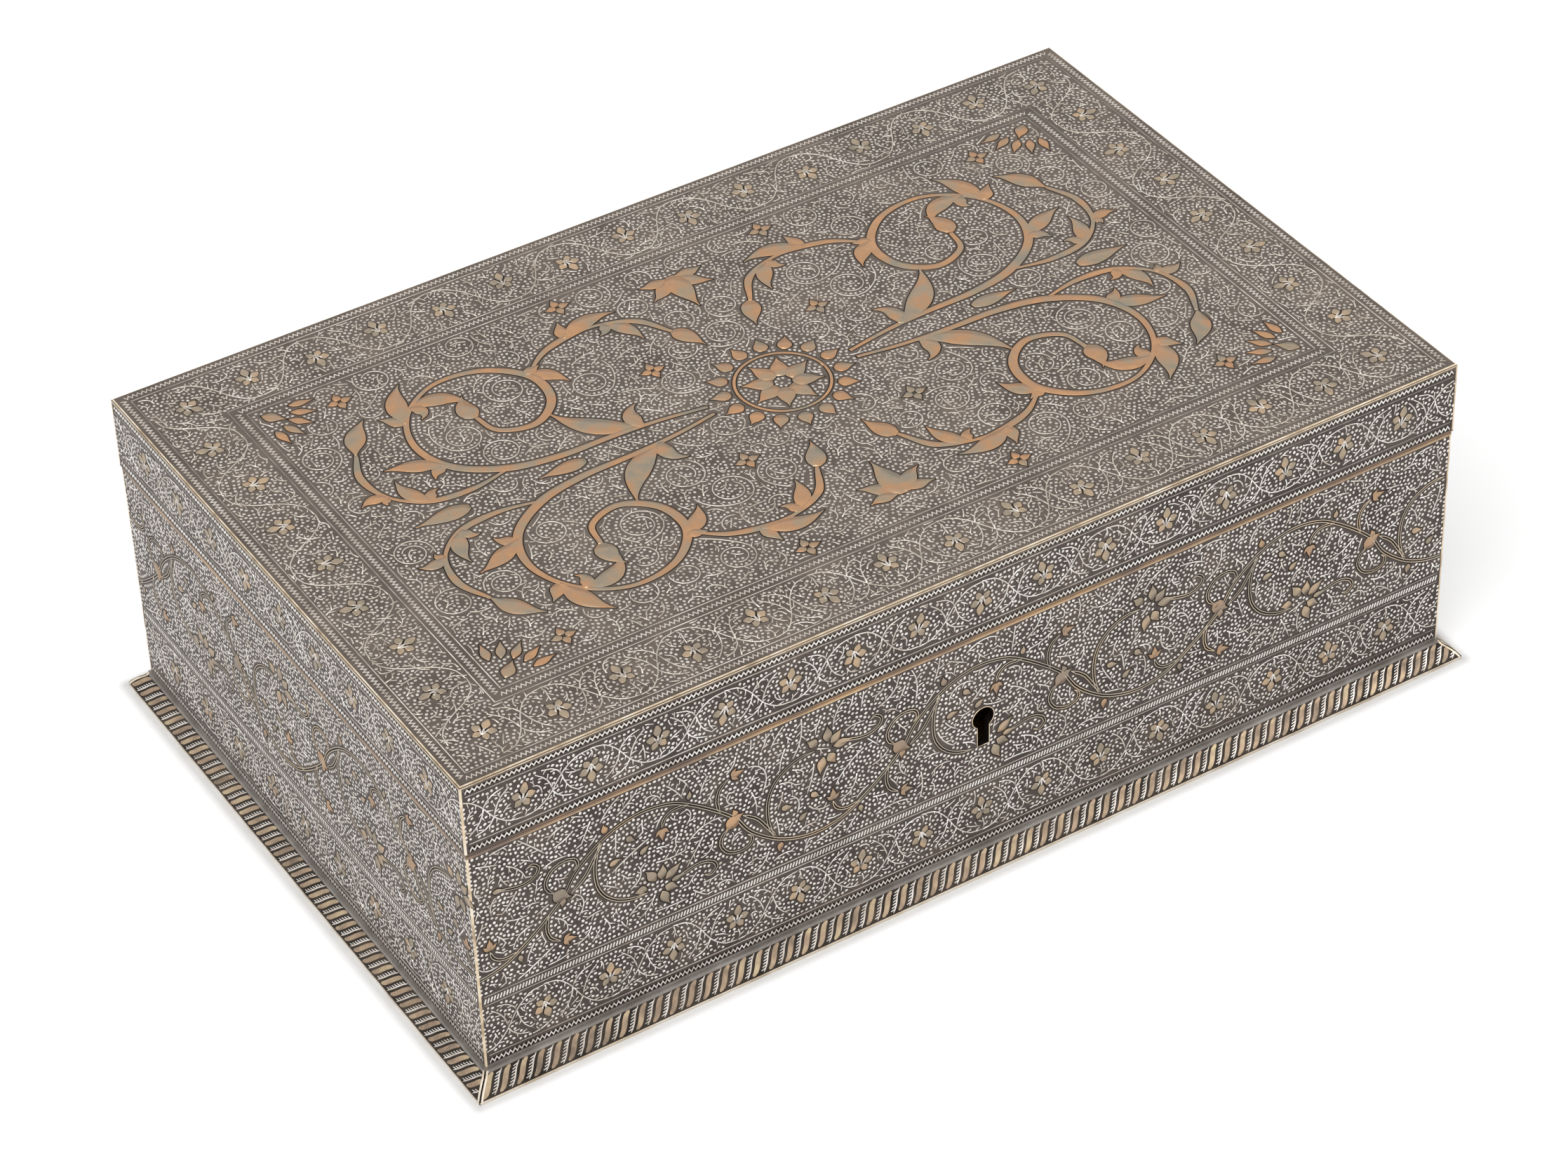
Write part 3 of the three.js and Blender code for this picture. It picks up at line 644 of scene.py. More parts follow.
class Inlay:
    """Gathers what is laid on the faces until it is made into one mesh."""

    SIDES = ((0, 3, 7, 4), (2, 1, 5, 6), (2, 6, 7, 3), (0, 4, 5, 1))

    def __init__(self):
        self.blocks = {}

    def add(self, face, points, faces):
        """Points as along, up and out of a face; faces as rows of three or four of them."""
        block = self.blocks.setdefault(face.name, {"place": [], "flat": [], "faces": [], "count": 0})
        block["place"].append(face.place(points))
        block["flat"].append(points[:, :2])
        block["faces"].append(faces + block["count"])
        block["count"] += len(points)

    def bar(self, face, path, widths, lift, side=None):
        """A bar with a four-cornered section along a path; its top edges are a little broken."""
        side = left_of(path) if side is None else np.broadcast_to(side, path.shape)
        half = np.broadcast_to(widths, len(path))[:, None] / 2
        crown = half - np.minimum(half * 0.45, 0.1)
        corners = [np.hstack([path + side * reach, np.full((len(path), 1), level)])
                   for reach, level in ((half, -FOOT), (-half, -FOOT), (-crown, lift), (crown, lift))]
        points = np.stack(corners, 1).reshape(-1, 3)
        ring = np.arange(len(path) - 1)[:, None] * 4
        sides = [ring + np.array(order) for order in self.SIDES]
        last = 4 * (len(path) - 1)
        ends = np.array([[0, 1, 2, 3], [last, last + 3, last + 2, last + 1]])
        self.add(face, points, np.vstack(sides + [ends]))

    def stamp(self, face, shape, faces, at, angle, size, lift=0.0):
        """Copies of one small shape, each at its place, turned and sized."""
        at, angle, size = np.array(at), np.array(angle), np.array(size)
        cos, sin = np.cos(angle)[:, None], np.sin(angle)[:, None]
        x = (shape[:, 0] * cos - shape[:, 1] * sin) * size[:, None] + at[:, :1]
        y = (shape[:, 0] * sin + shape[:, 1] * cos) * size[:, None] + at[:, 1:]
        z = np.broadcast_to(shape[:, 2] + lift, x.shape)
        starts = np.arange(len(at))[:, None, None] * len(shape)
        self.add(face, np.stack([x, y, z], 2).reshape(-1, 3), (faces + starts).reshape(-1, faces.shape[1]))

    def made(self, name, body, slot, finish, smooth=True):
        place, flat, loops, sizes = [], [], [], []
        count, shelf = 0, 0.0
        for block in self.blocks.values():
            drawn = np.vstack(block["flat"])
            low = drawn.min(0)
            flat.append(drawn - low + [0, shelf])
            shelf += drawn[:, 1].max() - low[1] + 2
            place.extend(block["place"])
            for faces in block["faces"]:
                loops.append((faces + count).ravel())
                sizes.append(np.full(len(faces), faces.shape[1]))
            count += block["count"]
        place, flat = np.vstack(place) * MM, np.vstack(flat)
        flat /= max(flat[:, 0].max(), shelf) * 1.01
        loops, sizes = np.concatenate(loops), np.concatenate(sizes)
        mesh = bpy.data.meshes.new(name)
        mesh.vertices.add(len(place))
        mesh.vertices.foreach_set("co", place.ravel())
        mesh.loops.add(len(loops))
        mesh.loops.foreach_set("vertex_index", loops.astype(np.int32))
        mesh.polygons.add(len(sizes))
        starts = np.concatenate([[0], np.cumsum(sizes)[:-1]])
        mesh.polygons.foreach_set("loop_start", starts.astype(np.int32))
        mesh.polygons.foreach_set("use_smooth", np.full(len(sizes), smooth))
        mesh.update(calc_edges=True)
        layout = mesh.uv_layers.new(name="OFBake")
        layout.data.foreach_set("uv", flat[loops].ravel())
        return finished(placed(name, mesh), body, finish)


def placed(name, data):
    """A new object in the scene."""
    made = bpy.data.objects.new(name, data)
    bpy.context.scene.collection.objects.link(made)
    return made


def coat(piece, finish):
    piece.data.materials.clear()
    piece.data.materials.append(finish)


def finished(piece, body, finish):
    coat(piece, finish)
    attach(piece, body)
    piece.data.calc_loop_triangles()
    print(piece.name, "has", len(piece.data.loop_triangles), "triangles")
    return piece


# %% [markdown]
# ## Finishes
# Outside, all of the casket is metal, so each finish is a metallic surface whose colour drifts a little:
# steel that was darkened and has worn brown in places, silver with some tarnish, gold that is thin here and
# there. The drift is noise in the object's own coordinates, so it stays with the metal from any side. The
# steel also has a fine grain in its gloss and its relief; the inlay is too small to need either. The bare
# steel is little metallic, because it is dull with wear.


# %% A metal with a drifting colour
def new_finish(name, inputs):
    """A material, its node tree and its shader with some inputs set."""
    finish = bpy.data.materials.new(name)
    finish.use_nodes = True
    shader = finish.node_tree.nodes["Principled BSDF"]
    for entry, value in inputs.items():
        shader.inputs[entry].default_value = value
    return finish, finish.node_tree, shader


def add_node(tree, kind, inputs=None, **settings):
    """A new shader node, some of its inputs and its settings."""
    made = tree.nodes.new("ShaderNode" + kind)
    for entry, value in (inputs or {}).items():
        made.inputs[entry].default_value = value
    for setting, value in settings.items():
        setattr(made, setting, value)
    return made


def join_nodes(tree, *links):
    """Each link names a node, its output, the next node and its input."""
    for giver, output, taker, entry in links:
        tree.links.new(giver.outputs[output], taker.inputs[entry])


def colour_ramp(tree, colours, first, last):
    """A ramp with its colours evenly from first to last."""
    ramp = add_node(tree, "ValToRGB")
    steps = ramp.color_ramp.elements
    for k, colour in enumerate(colours):
        at = first + (last - first) * k / (len(colours) - 1)
        step = steps[k] if k < 2 else steps.new(at)
        step.position = at
        step.color = (*colour, 1)
    return ramp


GRAIN_SIZE = 2.2


def metal(name, colours, size, roughness, gloss=0.0, grain=0.0, metallic=1.0):
    """Colours from tarnished to clean, drift size in mm; gloss spreads the roughness, grain is relief."""
    finish, tree, shader = new_finish(name, {"Metallic": metallic, "Roughness": roughness})
    where = add_node(tree, "TexCoord")
    drift = add_node(tree, "TexNoise", {"Scale": 1 / MM / size, "Detail": 4.0, "Roughness": 0.6})
    ramp = colour_ramp(tree, colours, 0.32, 0.68)
    join_nodes(tree, (where, "Object", drift, "Vector"), (drift, "Fac", ramp, "Fac"),
               (ramp, "Color", shader, "Base Color"))
    if gloss or grain:
        fine = add_node(tree, "TexNoise", {"Scale": 1 / MM / GRAIN_SIZE, "Detail": 6.0})
        join_nodes(tree, (where, "Object", fine, "Vector"))
    if gloss:
        spread = add_node(tree, "MapRange", {"To Min": roughness - gloss, "To Max": roughness + gloss})
        join_nodes(tree, (fine, "Fac", spread, "Value"), (spread, "Result", shader, "Roughness"))
    if grain:
        relief = add_node(tree, "Bump", {"Strength": grain, "Distance": 0.2 * MM})
        join_nodes(tree, (fine, "Fac", relief, "Height"), (relief, "Normal", shader, "Normal"))
    return finish


wall_steel = metal("darkened_steel_walls", [(0.066, 0.054, 0.049), (0.094, 0.077, 0.069),
                                            (0.135, 0.108, 0.092)], 14, 0.42, gloss=0.1, grain=0.25)
# The top of the lid gets a lighter copy of the walls' steel: painted light on the face that sees most of the
# lamp.
painted_light_lid_steel = metal("darkened_steel_lid_painted_light", [(0.118, 0.096, 0.080), (0.155, 0.128, 0.109), (0.20, 0.162, 0.132)],
                  14, 0.42, gloss=0.1, grain=0.25)
foot_steel = metal("foot_steel", [(0.030, 0.025, 0.021), (0.052, 0.043, 0.036), (0.085, 0.066, 0.050)], 9,
                   0.45, gloss=0.1, grain=0.25)
bare_steel = metal("bare_steel", [(0.20, 0.177, 0.155), (0.28, 0.252, 0.228), (0.38, 0.35, 0.32)],
                   9, 0.5, metallic=0.4)
filed_steel = metal("filed_steel", [(0.10, 0.09, 0.082), (0.17, 0.16, 0.15), (0.26, 0.25, 0.235)], 6,
                    0.38, gloss=0.08, grain=0.3)
worn_brass = metal("worn_brass", [(0.30, 0.19, 0.08), (0.55, 0.38, 0.17), (0.70, 0.52, 0.26)], 7,
                   0.34, gloss=0.08, grain=0.15)
black_groove = metal("black_groove", [(0.018, 0.014, 0.012), (0.028, 0.022, 0.018), (0.044, 0.034, 0.028)],
                     6, 0.6)
# The hammered and soft silvers are darker copies of the sides' silver for the lid's top: painted shade
# against the lamp there. Soft silver also finishes the foot's silver bars.
silver = metal("hammered_silver_painted_shade", [(0.44, 0.38, 0.32), (0.61, 0.55, 0.48), (0.75, 0.70, 0.64)], 5, 0.46)
spray_silver = metal("spray_silver", [(0.55, 0.48, 0.42), (0.74, 0.69, 0.64), (0.86, 0.83, 0.80)], 6, 0.32)
dot_silver = metal("dot_silver", [(0.60, 0.53, 0.47), (0.82, 0.77, 0.72), (0.92, 0.89, 0.86)], 4, 0.3)
bright_silver = metal("bright_silver", [(0.62, 0.56, 0.50), (0.80, 0.75, 0.70), (0.92, 0.89, 0.86)], 4, 0.3)
dull_silver = metal("dull_silver", [(0.29, 0.25, 0.21), (0.41, 0.36, 0.315), (0.55, 0.50, 0.45)], 5, 0.36)
soft_silver = metal("soft_silver", [(0.46, 0.405, 0.35), (0.63, 0.57, 0.51), (0.75, 0.70, 0.65)], 4, 0.32)
line_gold = metal("line_gold", [(0.46, 0.34, 0.22), (0.78, 0.63, 0.44), (0.93, 0.84, 0.70)], 5, 0.32)
# A gold so pale it is nearly white, for the nose of the foot: a gold line with a painted highlight of the
# foot's lower edge; it also finishes the mitre wires.
gold_and_painted_nose_highlight = metal("gold_and_painted_nose_highlight", [(0.60, 0.49, 0.36), (0.84, 0.73, 0.59), (0.95, 0.89, 0.80)], 9, 0.32)
rim_gold = metal("rim_gold", [(0.30, 0.22, 0.17), (0.56, 0.39, 0.24), (0.78, 0.58, 0.36)], 24, 0.34)
# A gold darkened to brown for the two strips where lid and body meet: the gold is real, the brown is painted
# shade of the joint under the lid's edge.
strip_gold_painted_joint_shade = metal("strip_gold_painted_joint_shade", [(0.17, 0.13, 0.11), (0.29, 0.20, 0.14), (0.49, 0.31, 0.17)], 24, 0.36)
bar_gold = metal("bar_gold", [(0.21, 0.165, 0.125), (0.39, 0.285, 0.2), (0.54, 0.43, 0.28)], 6, 0.36)
leaf_gold = metal("leaf_gold", [(0.29, 0.245, 0.19), (0.40, 0.325, 0.24), (0.56, 0.40, 0.26)], 5, 0.38)
copper_gold = metal("copper_gold", [(0.31, 0.275, 0.215), (0.40, 0.30, 0.205), (0.49, 0.285, 0.16),
                                    (0.56, 0.32, 0.17)], 8, 0.38)
bud_gold = metal("bud_gold", [(0.30, 0.25, 0.20), (0.44, 0.295, 0.19), (0.60, 0.37, 0.21)], 24, 0.36)
scroll_gold = metal("scroll_gold", [(0.41, 0.36, 0.30), (0.53, 0.455, 0.36), (0.67, 0.51, 0.35)], 16, 0.34)
print("metals:", len(bpy.data.materials))

# %% [markdown]
# ## Wood for the lining
# The lid and the body are lined with thin boards of oiled hardwood. Grain is noise drawn out along the
# board, with finer noise for the relief of its pores. Long boards lie along the casket's length, the end
# boards across it.


# %% Oiled wood
def oiled_wood(name, along):
    finish, tree, shader = new_finish(name, {"Roughness": 0.5})
    where = add_node(tree, "TexCoord")
    stretch = add_node(tree, "Mapping", {"Scale": [0.04 if axis == along else 1.0 for axis in range(3)]})
    streaks = add_node(tree, "TexNoise", {"Scale": 260, "Detail": 9, "Distortion": 0.25})
    ramp = colour_ramp(tree, [(0.085, 0.038, 0.016), (0.27, 0.135, 0.058)], 0.3, 0.7)
    pores = add_node(tree, "TexNoise", {"Scale": 900})
    relief = add_node(tree, "Bump", {"Strength": 0.3, "Distance": 0.3 * MM})
    join_nodes(tree, (where, "Object", stretch, "Vector"), (stretch, "Vector", streaks, "Vector"),
               (stretch, "Vector", pores, "Vector"), (streaks, "Fac", ramp, "Fac"),
               (ramp, "Color", shader, "Base Color"), (pores, "Fac", relief, "Height"),
               (relief, "Normal", shader, "Normal"))
    return finish


long_grain = oiled_wood("oiled_wood_long", 0)
cross_grain = oiled_wood("oiled_wood_cross", 1)

# %% Each node gets its finish
for name, node in nodes.items():
    if name.startswith(("lining_", "lid_lining_")):
        finish = cross_grain if name.endswith(("left", "right")) else long_grain
    elif name.startswith("plinth_"):
        finish = foot_steel
    elif name.startswith("hinge_"):
        finish = filed_steel
    elif name.startswith(("lock_", "link_", "lid_staple")):
        finish = worn_brass
    else:
        # The lid's top takes the lighter copy of the steel, painted light.
        finish = painted_light_lid_steel if name == "lid_top" else wall_steel
    coat(node, finish)
print("finishes on", len(nodes), "nodes")

# %% [markdown]
# ## The dot and the flower, modelled once
# A dot is a low six-sided button, a little longer than wide. It starts as a cone whose base is poked, so
# that it is closed by a second, flat cone below, which sits in the steel.


# %% One silver dot
def mode(kind):
    bpy.ops.object.mode_set(mode=kind)


def deselect_all():
    if bpy.context.object and bpy.context.object.mode != "OBJECT":
        mode("OBJECT")
    bpy.ops.object.select_all(action="DESELECT")


def select_where(test, kind="VERT"):
    """In edit mode, selects only the corners, edges or faces that pass a test of their place."""
    bpy.ops.mesh.select_mode(type=kind)
    bpy.ops.mesh.select_all(action="DESELECT")
    mode("OBJECT")
    mesh = bpy.context.object.data
    for part in {"VERT": mesh.vertices, "EDGE": mesh.edges, "FACE": mesh.polygons}[kind]:
        part.select = bool(test(part))
    mode("EDIT")


def stretch(x, y):
    """In edit mode, stretches what is selected about the origin."""
    bpy.ops.transform.resize(value=(x, y, 1), center_override=(0, 0, 0))


def shift_by(x, z):
    """In edit mode, moves what is selected, by millimetres."""
    bpy.ops.transform.translate(value=(x * MM, 0, z * MM))


def joined(pieces):
    """Several objects made into the first of them."""
    deselect_all()
    for piece in pieces:
        piece.select_set(True)
    bpy.context.view_layer.objects.active = pieces[0]
    bpy.ops.object.transform_apply()
    bpy.ops.object.join()
    return pieces[0]


def taken_as_shape(piece):
    """A modelled shape in mm, as corners and triangles in a fixed order; the object is put away."""
    mesh = piece.data
    mesh.calc_loop_triangles()
    points = np.array([corner.co for corner in mesh.vertices]) / MM
    faces = [np.array(triangle.vertices) for triangle in mesh.loop_triangles]
    faces = sorted(np.roll(face, -face.argmin()).tolist() for face in faces)
    bpy.data.objects.remove(piece)
    return points, np.array(faces)


DOT, DOT_HIGH = 0.4, 0.13
deselect_all()
bpy.ops.mesh.primitive_cone_add(vertices=6, radius1=DOT * MM, radius2=0, depth=DOT_HIGH * MM,
                                location=(0, 0, DOT_HIGH / 2 * MM))
bpy.ops.object.transform_apply()
mode("EDIT")
select_where(lambda face: face.normal.z < -0.9, "FACE")
bpy.ops.mesh.poke()
bpy.ops.mesh.select_all(action="SELECT")
stretch(1.12, 0.9)
select_where(lambda corner: corner.co.z < 0.01 * MM and corner.co.length < 0.1 * MM)
shift_by(0, -FOOT)
mode("OBJECT")
dot_shape = taken_as_shape(bpy.context.object)
print("dot:", len(dot_shape[0]), "corners,", len(dot_shape[1]), "triangles")

# %% [markdown]
# A flower is five petals of thin gold. A petal starts as a flat disc of ten corners. Its far corner is drawn
# out to a point and it is stretched to its length and width; then it is extruded to its thickness and its
# top is inset and raised a little, as a punch leaves it. The others are made alike, of their own lengths,
# each turned about the centre.


# %% One gold flower
def one_petal(length, width):
    """A petal that points along +X from the flower's centre."""
    deselect_all()
    bpy.ops.mesh.primitive_circle_add(vertices=10, radius=0.5 * MM, fill_type="NGON", location=(0, 0, 0))
    petal = bpy.context.object
    mode("EDIT")
    select_where(lambda corner: corner.co.x < -0.2 * MM)
    stretch(1, 0.72)
    select_where(lambda corner: corner.co.x > 0.3 * MM)
    stretch(1, 0.66)
    select_where(lambda corner: corner.co.x > 0.45 * MM)
    shift_by(0.22, 0)
    bpy.ops.mesh.select_all(action="SELECT")
    stretch(length / 1.22, width)
    shift_by(length * 0.41 + HEART, -FOOT)
    bpy.ops.mesh.extrude_region_move(TRANSFORM_OT_translate={"value": (0, 0, (FOOT + 0.04) * MM)})
    bpy.ops.mesh.inset(thickness=0.25 * MM, depth=0.03 * MM)
    bpy.ops.mesh.select_all(action="SELECT")
    bpy.ops.mesh.normals_make_consistent(inside=False)
    mode("OBJECT")
    return petal


petals = []
for turn, length, width in PETALS:
    petal = one_petal(length, width)
    petal.rotation_euler.z = turn
    petals.append(petal)
flower_shape = taken_as_shape(joined(petals))
print("flower:", len(flower_shape[0]), "corners,", len(flower_shape[1]), "triangles")

# %% [markdown]
# ## Laying a sheet on a face
# Wires and leaves become bars, dots and flowers are stamped. What would lie under a hinge leaf is left out.

# %% Lay a sheet
WIRE_LIFT = 0.07
LIFTS = {"outlines": 0.012, "stems": 0.05, "leaves": 0.045, "buds": 0.055, "wires": WIRE_LIFT}


def lay_sheet(sheet, face, low, inlays, hidden=(), left=0.0):
    """Inlays takes each part of the sheet; left and low are where its corner lies on the face."""
    shift = np.array([left, low])

    def shows(points):
        middle = points[len(points) // 2] if points.ndim == 2 else points
        return not any(a <= middle[0] <= c and b <= middle[1] <= d for a, b, c, d in hidden)

    for part, lift in LIFTS.items():
        for k, (path, widths) in enumerate(getattr(sheet, part) if part in inlays else ()):
            swells = np.ptp(widths) > 0.5
            keep = np.arange(len(path)) if swells else kept_points(path)
            if shows(path + shift):
                inlays[part].bar(face, path[keep] + shift, widths[keep], lift + 0.03 * (0.618 * k % 1))
    if "dots" in inlays:
        at = np.array([spot for spot in sheet.dots + shift if shows(spot)])
        chance = np.random.default_rng(len(at))
        turns, sizes = chance.uniform(0, math.pi, len(at)), chance.uniform(0.88, 1.1, len(at))
        inlays["dots"].stamp(face, *dot_shape, at, turns, sizes)
    if "flowers" in inlays and sheet.flowers:
        at, turns, sizes = zip(*[item for item in sheet.flowers if shows(item[0] + shift)])
        inlays["flowers"].stamp(face, *flower_shape, np.array(at) + shift, turns, sizes)


# %% [markdown]
# ## Border lines
# Between the bands lie narrow rows: a thin silver line, a zigzag of broad strokes, on the upright faces with
# a dark bed of its own, or a rope of short slanting strokes.


# %% Lines, zigzags and ropes
LINE, TOOTH, TEETH_PITCH = 0.4, 0.76, 1.27


def straight(inlay, face, start, end, width=LINE, lift=WIRE_LIFT):
    inlay.bar(face, np.array([start, end], float), width, lift)


def zigzag(inlay, face, start, end, height, pitch, width=TOOTH):
    """Teeth along a line from start to end, standing to its left; width is measured upwards."""
    start, end = np.array(start, float), np.array(end, float)
    length = np.linalg.norm(end - start)
    along = (end - start) / length
    up = np.array([-along[1], along[0]])
    count = 2 * int(round(length / pitch))
    t = np.arange(count + 1)
    path = start + along * (t * length / count)[:, None] + up * ((t % 2) * (height - width))[:, None]
    inlay.bar(face, path + up * width / 2, width, WIRE_LIFT, side=up)


def row_of_teeth(inlay, grooves, face, left, right, low, height, pitch):
    """A zigzag on its own dark bed."""
    middle = low + height / 2
    straight(grooves, face, (left, middle), (right, middle), height - 0.2, 0.012)
    zigzag(inlay, face, (left, low), (right, low), height, pitch)


def rope(inlay, face, low, height, pitch, left, right):
    for x in np.arange(left, right, pitch):
        inlay.bar(face, np.array([[x, low], [x + 0.45, low + height]]), 0.5, WIRE_LIFT)


def silver_made(inlays, name, body, finishes):
    """The silver parts of a band, each made into one mesh."""
    for part, finish in finishes.items():
        inlays[part].made(name + part, body, "silver_inlay", finish, part in ("wires", "lines"))


# %% [markdown]
# ## The sides of the lid
# From the top edge down: gold edge, zigzag, line, floral band, line, zigzag. Front and back have fifteen
# flowers, the ends nine. Under the two hinge leaves nothing is laid.

# %% Sides of the lid
HINGE_AT, HINGE_HALF, HINGE_HIGH = 86, 19.3, 14.2
HINGES = [(x - HINGE_HALF, x + HINGE_HALF) for x in (lid_long - HINGE_AT, lid_long + HINGE_AT)]
LID_BAND_LOW, LID_BAND = 75.9, 13.1
TOP_TEETH, TOP_LINE, LOW_LINE, LOW_TEETH = 90.0, 89.4, 75.45, 72.95  # mm above the table
EDGE_GAP = 1.2
lid = {part: Inlay() for part in ("wires", "lines", "zigzags", "dots", "flowers", "outlines")}
long_band = floral_band(2 * lid_long, LID_BAND, count=15, first=15.6, pitch=17.7, starts_down=True, seed=11)
short_band = floral_band(2 * lid_short, LID_BAND, count=9, first=16.2, pitch=17.8, starts_down=True, seed=12)
for name, face in lid_sides.items():
    hidden, ends = (), (EDGE_GAP, face.width - EDGE_GAP)
    runs = [ends]
    if name == "back":
        hidden = [(left, 0, right, lid_bottom + HINGE_HIGH) for left, right in HINGES]
        runs = [(ends[0], HINGES[0][0]), (HINGES[0][1], HINGES[1][0]), (HINGES[1][1], ends[1])]
    lay_sheet(long_band if name in ("front", "back") else short_band, face, LID_BAND_LOW, lid, hidden)
    row_of_teeth(lid["zigzags"], lid["outlines"], face, *ends, TOP_TEETH, 1.65, TEETH_PITCH)
    straight(lid["lines"], face, (ends[0], TOP_LINE), (ends[1], TOP_LINE))
    for left, right in runs:
        straight(lid["lines"], face, (left, LOW_LINE), (right, LOW_LINE))
        row_of_teeth(lid["zigzags"], lid["outlines"], face, left, right, LOW_TEETH, 1.75, TEETH_PITCH)
silver_made(lid, "lid_side_silver_", "lid", {"wires": spray_silver, "lines": dull_silver,
                                             "zigzags": bright_silver, "dots": dot_silver})

# %% [markdown]
# ## The top of the lid
# The border is the same band laid round as a frame, with a flower in each corner and the stem bent round
# it. Its silver is painted duller than that of the upright faces, and the steel of the top painted lighter
# than the walls: painted shade and painted light for the top, which sees most of the lamp.

# %% Border of the lid's top
OUTER, INNER = 4.15, 20.8
IN_STEP = 1.6
width, height = 2 * lid_long, 2 * lid_short


def frame_sides(inset):
    """The four sides of a rectangle that far inside the lid's edge, each from corner to corner."""
    corners = np.array([(inset, inset), (width - inset, inset), (width - inset, height - inset),
                        (inset, height - inset)])
    return list(zip(corners, np.roll(corners, -1, 0)))


top = {part: Inlay() for part in ("wires", "lines", "zigzags", "dots")}
border = Sheet(width, height)
border.block(-2, -2, width + 2, OUTER)
border.block(-2, height - OUTER, width + 2, height + 2)
border.block(-2, -2, OUTER, height + 2)
border.block(width - OUTER, -2, width + 2, height + 2)
border.block(INNER, INNER, width - INNER, height - INNER)
chance = np.random.default_rng(21)
middle, half_high = (OUTER + INNER) / 2, (INNER - OUTER) / 2 - 0.8
sides = [[start + (end - start) * k / steps for k in range(steps + 1)]
         for (start, end), steps in zip(frame_sides(middle + IN_STEP), (14, 8, 14, 8))]
ways = (((1, 0), (0, 1)), ((0, 1), (-1, 0)), ((-1, 0), (0, -1)), ((0, -1), (1, 0)))
for (along, up), places in zip(ways, sides):
    for k, place in enumerate(places[:-1]):
        flip = 1 if k % 2 == 0 else -1
        up_angle = math.atan2(up[1], up[0])
        sway = 0 if k == 0 else 1.0 * flip
        heading = up_angle + (0 if flip == 1 else math.pi) + chance.uniform(-0.3, 0.3)
        if k == 0:
            heading = up_angle + math.pi * 0.75 + math.pi
        flower(border, place + np.array(up) * (sway - IN_STEP * (k > 0)), heading)
border.settle()
for (along, up), places in zip(ways, sides):
    border_run(border, [place - np.array(up) * IN_STEP for place in places], half_high, along, up, chance)
strew_dots(border)
lay_sheet(border, top_face, 0, {**lid, "wires": top["wires"], "dots": top["dots"]})
for inset, kind in ((1.15, "zigzag"), (3.75, "line"), (21.25, "line"), (22.0, "zigzag"), (24.75, "line")):
    for start, end in frame_sides(inset):
        if kind == "line":
            straight(top["lines"], top_face, start, end)
        else:
            run = (end - start) / np.linalg.norm(end - start) * 1.6
            zigzag(top["zigzags"], top_face, start + run, end - run, 1.9, TEETH_PITCH)
# On the top the silver is a darker copy of that on the upright faces: painted shade against the lamp.
silver_made(top, "lid_border_silver_", "lid", {"wires": silver, "lines": dull_silver,
                                               "zigzags": soft_silver, "dots": soft_silver})
lid["flowers"].made("lid_gold_flowers", "lid", "gold_inlay", leaf_gold)

# %% [markdown]
# ## The middle of the lid
# A symmetric arabesque in reddish gold: a lobed medallion, vines that swell and taper as they roll in, with
# split leaves, palmettes, small fans of pointed leaves in the corners and small rosettes. A quarter is drawn
# and mirrored both ways. Silver spirals fill the ground.

# %% Vines and split leaves
FIELD = 25.2
CRESCENT = (0.10, 0.34, 0.68, 0.93, 1.0, 0.93, 0.72, 0.44, 0.18, 0.04)
HOOK = (0.3, 0.75, 1.0, 0.9, 0.6, 0.28, 0.05)
VINES = (
    (((20.6, 1.6), (33, 3.6), (46, 4.6), (60, 5.0), (73, 7.9), (84, 16), (87.5, 28), (83, 40), (72, 47.5),
      (59, 46), (50, 37), (50.5, 26), (58.5, 19.5), (67.5, 22.5), (69.5, 30)), 2.7),
    (((73, 7.6), (84, 5.6), (95, 7.2), (102.5, 14), (104.5, 24), (101, 33)), 2.2),
    (((50.2, 38), (41, 44.5), (28, 46.5), (17, 42.5), (11.5, 33.5)), 2.2),
)
VINE = (0.4, 0.55, 0.8, 1.0, 0.9, 0.6, 0.5, 0.75, 1.0, 0.8, 0.5)
SPLIT_LEAVES = (
    (0, 0.10, 1, 25, 6.4, 0.35, 0.9),
    (0, 0.40, -1, 15, 5.0, 0.45, 0.4),
    (0, 0.52, -1, 17, 5.6, 0.4, -0.7),
    (0, 0.56, 1, 16, 5.2, 0.6, 1.5),
    (0, 0.76, -1, 12, 4.6, 0.5, -0.8),
    (1, 0.42, 1, 13, 4.4, 0.5, 1.0),
    (1, 0.62, -1, 8, 3.6, 0.45, 1.4),
    (2, 0.38, -1, 17, 5.2, 0.35, -0.9),
    (2, 0.60, 1, 13, 4.4, 0.5, 0.9),
)
VINE_ENDS = ((0, 0.9, 10, 5.6, DROP), (1, 0.55, 14.5, 5.4, CRESCENT), (2, 0.3, 10.5, 5.2, DROP))
PALMETTE = ((0.8, -0.95, 10.5, 4.4), (1.2, -0.22, 8.0, 3.6))
ROSETTES = ((24, 22), (30, 58.5), (94, 54.5))


def heading_at(path, k):
    run = path[min(k + 1, len(path) - 1)] - path[max(k - 1, 0)]
    return math.atan2(run[1], run[0])


